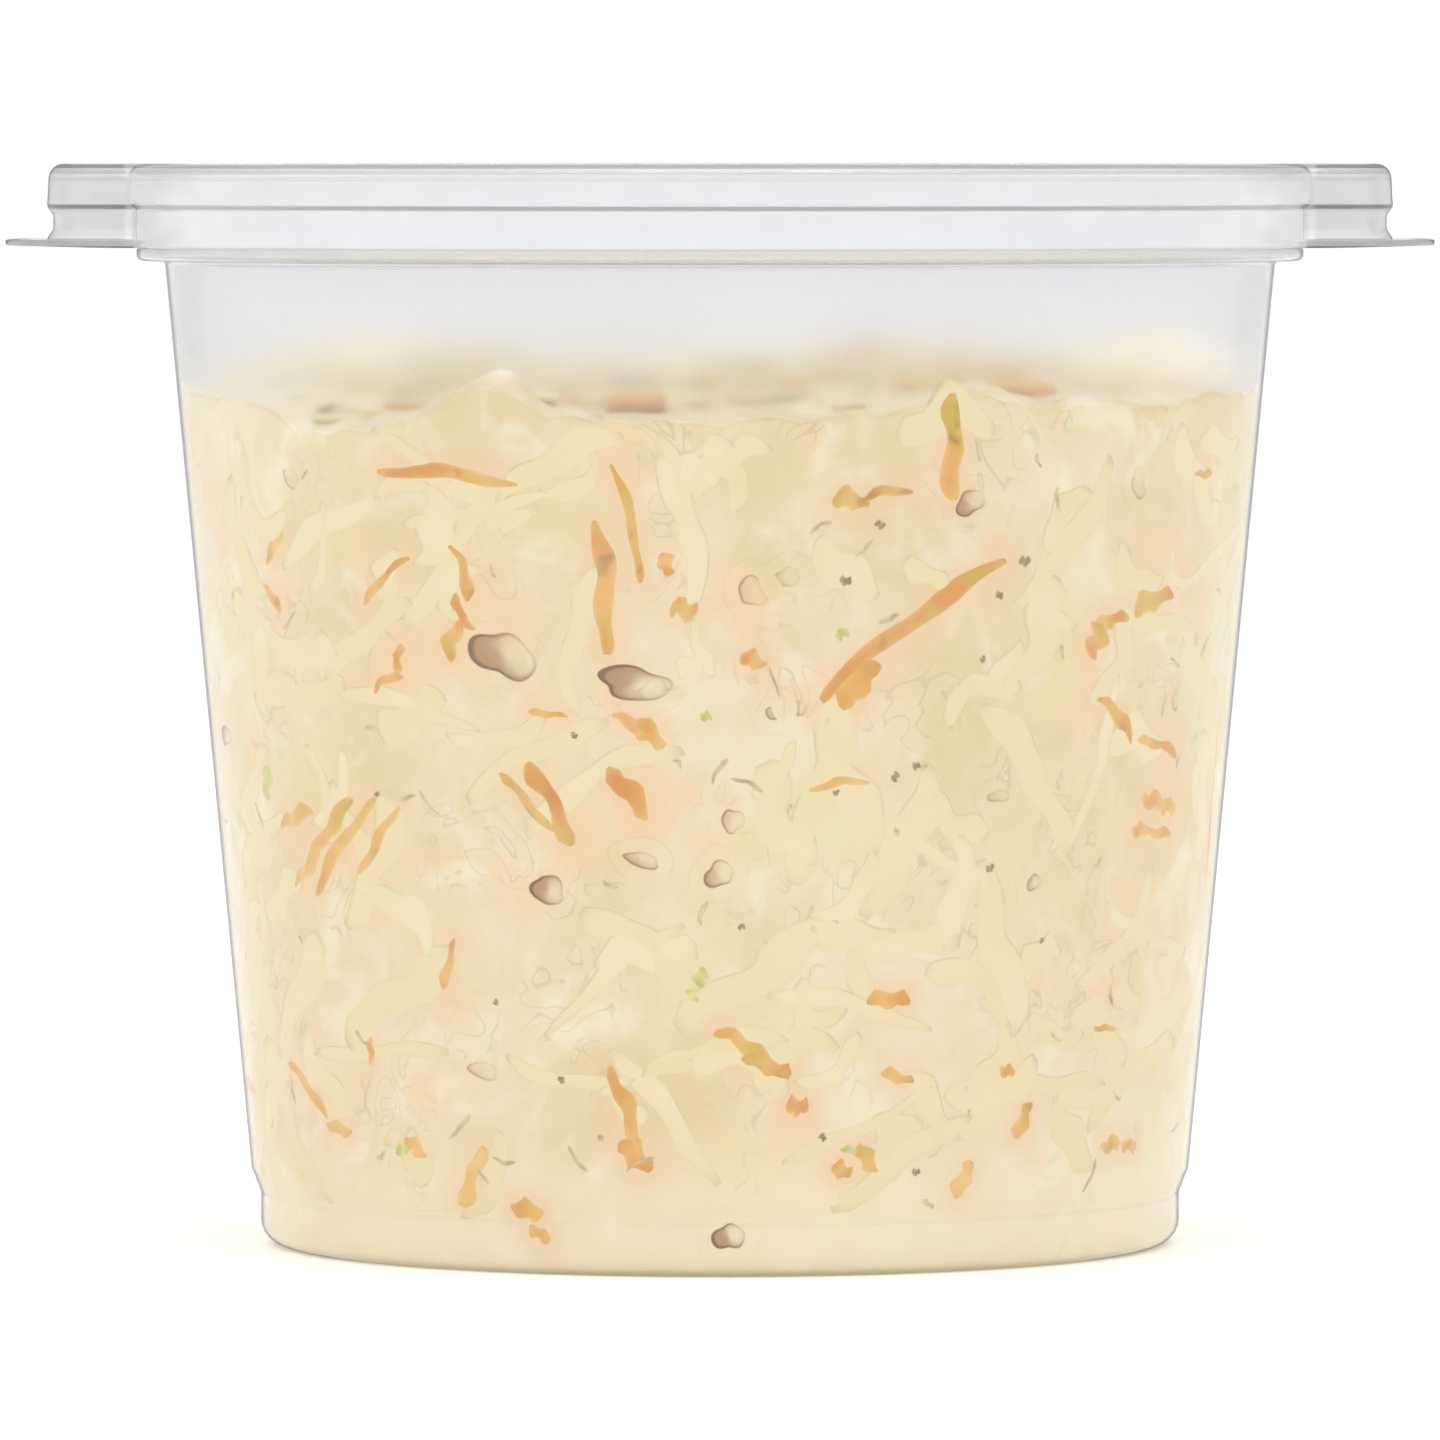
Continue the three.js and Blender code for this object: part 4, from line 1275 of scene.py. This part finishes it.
class StudioSettings(bpy.types.PropertyGroup):
    """Floor, lights and camera."""

    camera_distance: length_setting("Camera distance", "From the tub's axis", 1.2213)
    camera_pitch: bpy.props.FloatProperty(
        name="Camera pitch", description="How far the camera looks down",
        default=math.radians(2.365), unit="ROTATION")
    frame_width: length_setting("Frame width", "Width seen at the tub's axis", 0.1279)
    aim_height: length_setting("Aim height", "Height of the picture's middle", 0.0464)
    world_light: strength_setting("World light", "Strength of the white surroundings", 1.0)
    flag_depth: share_setting("Flags", "Darkness of the flags behind the tub", 0.75)
    softbox_light: strength_setting("Softbox light", "Strength of each side softbox", 0.2)
    fill_light: strength_setting("Fill light", "Strength of the light over the camera", 1.3)
    top_light: strength_setting("Top light", "Strength of the light over the lid", 5.0)


# ---------------------------------------------------------------- operators

class COLESLAW_OT_cup(bpy.types.Operator):
    """Make the clear tapered tub"""

    bl_idname = "coleslaw.cup"
    bl_label = "Tub"

    def execute(self, context):
        plastic = context.scene.coleslaw_plastic
        cup = mesh_object("clear_cup", *revolve(cup_profile()), smooth_angle=math.radians(40))
        material = clear_plastic(
            "clear tub plastic", tuple(plastic.cup_tint), plastic.cup_haze, plastic.cup_blur, CUP_SHADE_LINES,
            (SHOULDER_HEIGHT + 0.3, 0.35))
        dress(cup, "cup", material)
        return {"FINISHED"}


class COLESLAW_OT_lid(bpy.types.Operator):
    """Make the clear press-on lid with its two ears and finger tabs"""

    bl_idname = "coleslaw.lid"
    bl_label = "Lid"

    def execute(self, context):
        plastic = context.scene.coleslaw_plastic
        below = SKIRT_BOTTOM - 1
        lid = mesh_object("clear_lid", *revolve(lid_profile(0, SKIRT_BOTTOM)))
        for side in (1, -1):
            ear = ear_solid("ear", 0, SKIRT_BOTTOM + 0.1, side)
            boolean(ear, tab_solid("tab", side), "UNION")
            boolean(ear, ear_solid("ear hollow", LID_WALL, below, side), "DIFFERENCE")
            boolean(lid, ear, "UNION")
        boolean(lid, mesh_object("lid hollow", *revolve(lid_profile(LID_WALL, below))), "DIFFERENCE")
        shade_smooth(lid, math.radians(35))
        material = clear_plastic(
            "clear lid plastic", tuple(plastic.lid_tint), plastic.lid_haze, plastic.lid_blur, LID_SHADE_LINES,
            (LID_TOP, 0))
        dress(lid, "lid", material)
        return {"FINISHED"}


class COLESLAW_OT_cream(bpy.types.Operator):
    """Make the creamy body of the salad and the air pockets that it leaves at the wall"""

    bl_idname = "coleslaw.cream"
    bl_label = "Cream"

    def execute(self, context):
        salad = context.scene.coleslaw_salad
        pockets = pocket_specs(salad)
        carrots = carrot_specs(salad)
        material = cream_material()
        shape, stains = cream_mesh(pockets, carrots)
        cream = mesh_object("slaw_cream", *shape)
        mark_vertices(cream, "stain", stains)
        dress(cream, "coleslaw", material)
        linings = Pile()
        for index, pocket in enumerate(pockets):
            pocket_lining(linings, pocket, index, carrots)
        dress(linings.piece("slaw_pockets"), "coleslaw", material)
        return {"FINISHED"}


class COLESLAW_OT_carrots(bpy.types.Operator):
    """Scatter the carrot shreds at the wall and on top"""

    bl_idname = "coleslaw.carrots"
    bl_label = "Carrots"

    def execute(self, context):
        salad = context.scene.coleslaw_salad
        draw = draw_for(salad, "carrot shapes")
        pile = Pile()
        for spec in carrot_specs(salad):
            length = spec[2]
            wall_shred(pile, draw, spec, PRESSED_CARROT, stations=max(8, int(length * 1.6)))
        for x, y, length, heading in TOP_CARROTS:
            middle = (x, y, top_height(x, y) + TOP_CARROT_LIFT)
            size = (length, TOP_CARROT_WIDTH, TOP_CARROT_THICKNESS)
            loose_shred(pile, draw, middle, size, heading, pitch=0.05, curl=0.3, veil=0.55)
        scatter_on_top(pile, draw, salad.top_carrots, self.loose)
        dress(pile.piece("slaw_carrots"), "coleslaw", carrot_material())
        return {"FINISHED"}

    @staticmethod
    def loose(draw):
        """Size, lift, pitch, curl and veil of one shred on top."""
        size = (draw.uniform(4, 13), draw.uniform(1.2, 2.2), draw.uniform(0.8, 1.3))
        lift = draw.uniform(0.0, 0.6)
        return size, lift, draw.uniform(-0.2, 0.2), draw.uniform(-0.8, 0.8), draw.uniform(0, 0.7)


class COLESLAW_OT_cabbage(bpy.types.Operator):
    """Scatter the pale cabbage shreds at the wall and on top"""

    bl_idname = "coleslaw.cabbage"
    bl_label = "Cabbage"

    def execute(self, context):
        salad = context.scene.coleslaw_salad
        draw = draw_for(salad, "cabbage")
        pile = Pile()
        pockets = pocket_specs(salad)
        specs = [(*spec, 0.2) for spec in FRONT_CABBAGE]
        for index in range(salad.wall_cabbage):
            azimuth = math.degrees(index * GOLDEN_TURN)
            length = draw.uniform(4, 17)
            tilt = draw.uniform(-80, 80)
            room = room_for(length, tilt, CABBAGE_ROOM)
            width = draw.uniform(1.2, 4)
            height = CABBAGE_MIDDLE + draw.uniform(-room, room)
            bow = draw.uniform(-2, 2)
            specs.append((azimuth, height, length, width, tilt, bow, draw.uniform(0.3, 1)))
        for spec in specs:
            if not any(covers(spec, pocket) for pocket in pockets):
                wall_shred(pile, draw, spec, PRESSED_CABBAGE)
        scatter_on_top(pile, draw, salad.top_cabbage, self.loose)
        dress(pile.piece("slaw_cabbage"), "coleslaw", cabbage_material())
        return {"FINISHED"}

    @staticmethod
    def loose(draw):
        """Size, lift, pitch, curl and veil of one shred on top. A few stand up steeply."""
        size = (draw.uniform(5, 16), draw.uniform(1.2, 3.4), draw.uniform(0.5, 1.0))
        steep = 0.5 if draw.random() < 0.15 else 0.12
        lift = draw.uniform(-0.35, 0.45)
        return size, lift, draw.uniform(-steep, steep), draw.uniform(-1.6, 1.6), draw.uniform(0.2, 1)


class COLESLAW_OT_greens(bpy.types.Operator):
    """Scatter the green flakes and the dark specks"""

    bl_idname = "coleslaw.greens"
    bl_label = "Greens and specks"

    def execute(self, context):
        salad = context.scene.coleslaw_salad
        draw = draw_for(salad, "greens")
        greens = Pile()
        specs = [(azimuth, height, 2 * half_length, 2 * half_width, tilt, 0.1, 0.1)
                 for azimuth, height, half_length, half_width, tilt in FRONT_GREENS]
        veils = (0.1, 0.3, 0.6)
        specs += scattered_specs(draw, salad.wall_greens, (1, 1.6, 2.6), (0.6, 1.3), veils, 0.1)
        for spec in specs:
            wall_shred(greens, draw, spec, PRESSED_GREEN, stations=8)
        scatter_on_top(greens, draw, salad.top_greens, self.loose)
        dress(greens.piece("slaw_greens"), "coleslaw", green_material())

        specks = Pile()
        specs = [(azimuth, height, 2.1 * radius, 1.8 * radius, draw.uniform(-80, 80), 0, 0)
                 for azimuth, height, radius in FRONT_SPECKS]
        specs += scattered_specs(draw, salad.wall_specks, (0.5, 0.7, 1), (0.5, 0.9), (0, 0.3), 0)
        sliver_ranges = ((5, 72), (0.6, 3.2), (0.22, 0.5), (-80, 80), (-0.3, 0.3), (0.5, 0.9))
        for index in range(salad.wall_slivers):
            azimuth = math.degrees(index * GOLDEN_TURN)
            specs.append((azimuth, *(draw.uniform(*ends) for ends in sliver_ranges)))
        for spec in specs:
            wall_shred(specks, draw, spec, PRESSED_SPECK, stations=7)
        dress(specks.piece("slaw_specks"), "coleslaw", speck_material())
        return {"FINISHED"}

    @staticmethod
    def loose(draw):
        """Size, lift, pitch, curl and veil of one flake on top."""
        size = (draw.uniform(2, 5), draw.uniform(0.8, 1.6), 0.4)
        return size, 0.7, 0.1, 0.4, 0.2


class COLESLAW_OT_stage(bpy.types.Operator):
    """Make the pale floor, the studio light and the camera"""

    bl_idname = "coleslaw.stage"
    bl_label = "Studio"

    def execute(self, context):
        studio = context.scene.coleslaw_studio
        self.floor()
        self.lights(context, studio)
        self.camera(context, studio)
        scene = context.scene
        scene.view_settings.view_transform = "Standard"
        scene.cycles.max_bounces = 16
        scene.cycles.transmission_bounces = 14
        scene.cycles.transparent_max_bounces = 16
        scene.cycles.caustics_reflective = False
        return {"FINISHED"}

    def floor(self):
        """A round, flat floor that reaches far past the picture."""
        sides = FLOOR_SIDES
        turns = [math.tau * side / sides for side in range(sides)]
        vertices = [
            (radius / MM * math.cos(turn), radius / MM * math.sin(turn), 0)
            for radius in FLOOR_RADII for turn in turns
        ]
        faces = [list(range(sides))]
        for ring in range(len(FLOOR_RADII) - 1):
            for side in range(sides):
                low = ring * sides
                following = (side + 1) % sides
                faces.append([low + side, low + sides + side, low + sides + following, low + following])
        floor = mesh_object("floor", vertices, faces)
        floor.data.materials.append(floor_material())

    def lights(self, context, studio):
        """The white surroundings and the soft lamps, which all point at the tub."""
        context.scene.world = surroundings(studio.world_light, studio.flag_depth)
        for name, azimuth, away, height, size, setting in LAMPS:
            data = bpy.data.lights.new(name, "AREA")
            data.shape = "RECTANGLE"
            data.size, data.size_y = size
            data.energy = getattr(studio, setting)
            lamp = bpy.data.objects.new(name, data)
            turn = math.radians(azimuth)
            lamp.location = (away * math.sin(turn), -away * math.cos(turn), height)
            aim = LAMPS_AIM - lamp.location
            lamp.rotation_euler = aim.to_track_quat("-Z", "Y").to_euler()
            context.scene.collection.objects.link(lamp)

    def camera(self, context, studio):
        """A camera in front of the tub that looks slightly down."""
        data = bpy.data.cameras.new("camera")
        data.sensor_width = SENSOR_WIDTH
        data.lens = SENSOR_WIDTH * studio.camera_distance / studio.frame_width
        data.clip_start = 0.1
        data.clip_end = 60
        camera = bpy.data.objects.new("camera", data)
        pitch = studio.camera_pitch
        camera.location = (
            0,
            -studio.camera_distance * math.cos(pitch),
            studio.aim_height + studio.camera_distance * math.sin(pitch),
        )
        camera.rotation_euler = Euler((math.pi / 2 - pitch, 0, 0))
        context.scene.collection.objects.link(camera)
        context.scene.camera = camera


# ---------------------------------------------------------------- panel and running

PIECE_OPERATORS = (
    COLESLAW_OT_cup,
    COLESLAW_OT_lid,
    COLESLAW_OT_cream,
    COLESLAW_OT_carrots,
    COLESLAW_OT_cabbage,
    COLESLAW_OT_greens,
    COLESLAW_OT_stage,
)
SETTINGS = (
    ("coleslaw_salad", SaladSettings),
    ("coleslaw_plastic", PlasticSettings),
    ("coleslaw_studio", StudioSettings),
)


class COLESLAW_PT_panel(bpy.types.Panel):
    """The tub's pieces and settings"""

    bl_idname = "COLESLAW_PT_panel"
    bl_label = "Coleslaw"
    bl_space_type = "VIEW_3D"
    bl_region_type = "UI"
    bl_category = "Coleslaw"

    def draw(self, context):
        for name, group in SETTINGS:
            box = self.layout.box()
            for key in group.__annotations__:
                box.prop(getattr(context.scene, name), key)
        for operator in PIECE_OPERATORS:
            self.layout.operator(operator.bl_idname)


def register():
    for name, group in SETTINGS:
        bpy.utils.register_class(group)
        setattr(bpy.types.Scene, name, bpy.props.PointerProperty(type=group))
    for operator in PIECE_OPERATORS:
        bpy.utils.register_class(operator)
    bpy.utils.register_class(COLESLAW_PT_panel)


def unregister():
    bpy.utils.unregister_class(COLESLAW_PT_panel)
    for operator in reversed(PIECE_OPERATORS):
        bpy.utils.unregister_class(operator)
    for name, group in reversed(SETTINGS):
        delattr(bpy.types.Scene, name)
        bpy.utils.unregister_class(group)


def main():
    register()
    bpy.ops.coleslaw.cup()
    bpy.ops.coleslaw.lid()
    bpy.ops.coleslaw.cream()
    bpy.ops.coleslaw.carrots()
    bpy.ops.coleslaw.cabbage()
    bpy.ops.coleslaw.greens()
    bpy.ops.coleslaw.stage()


if __name__ == "__main__":
    main()
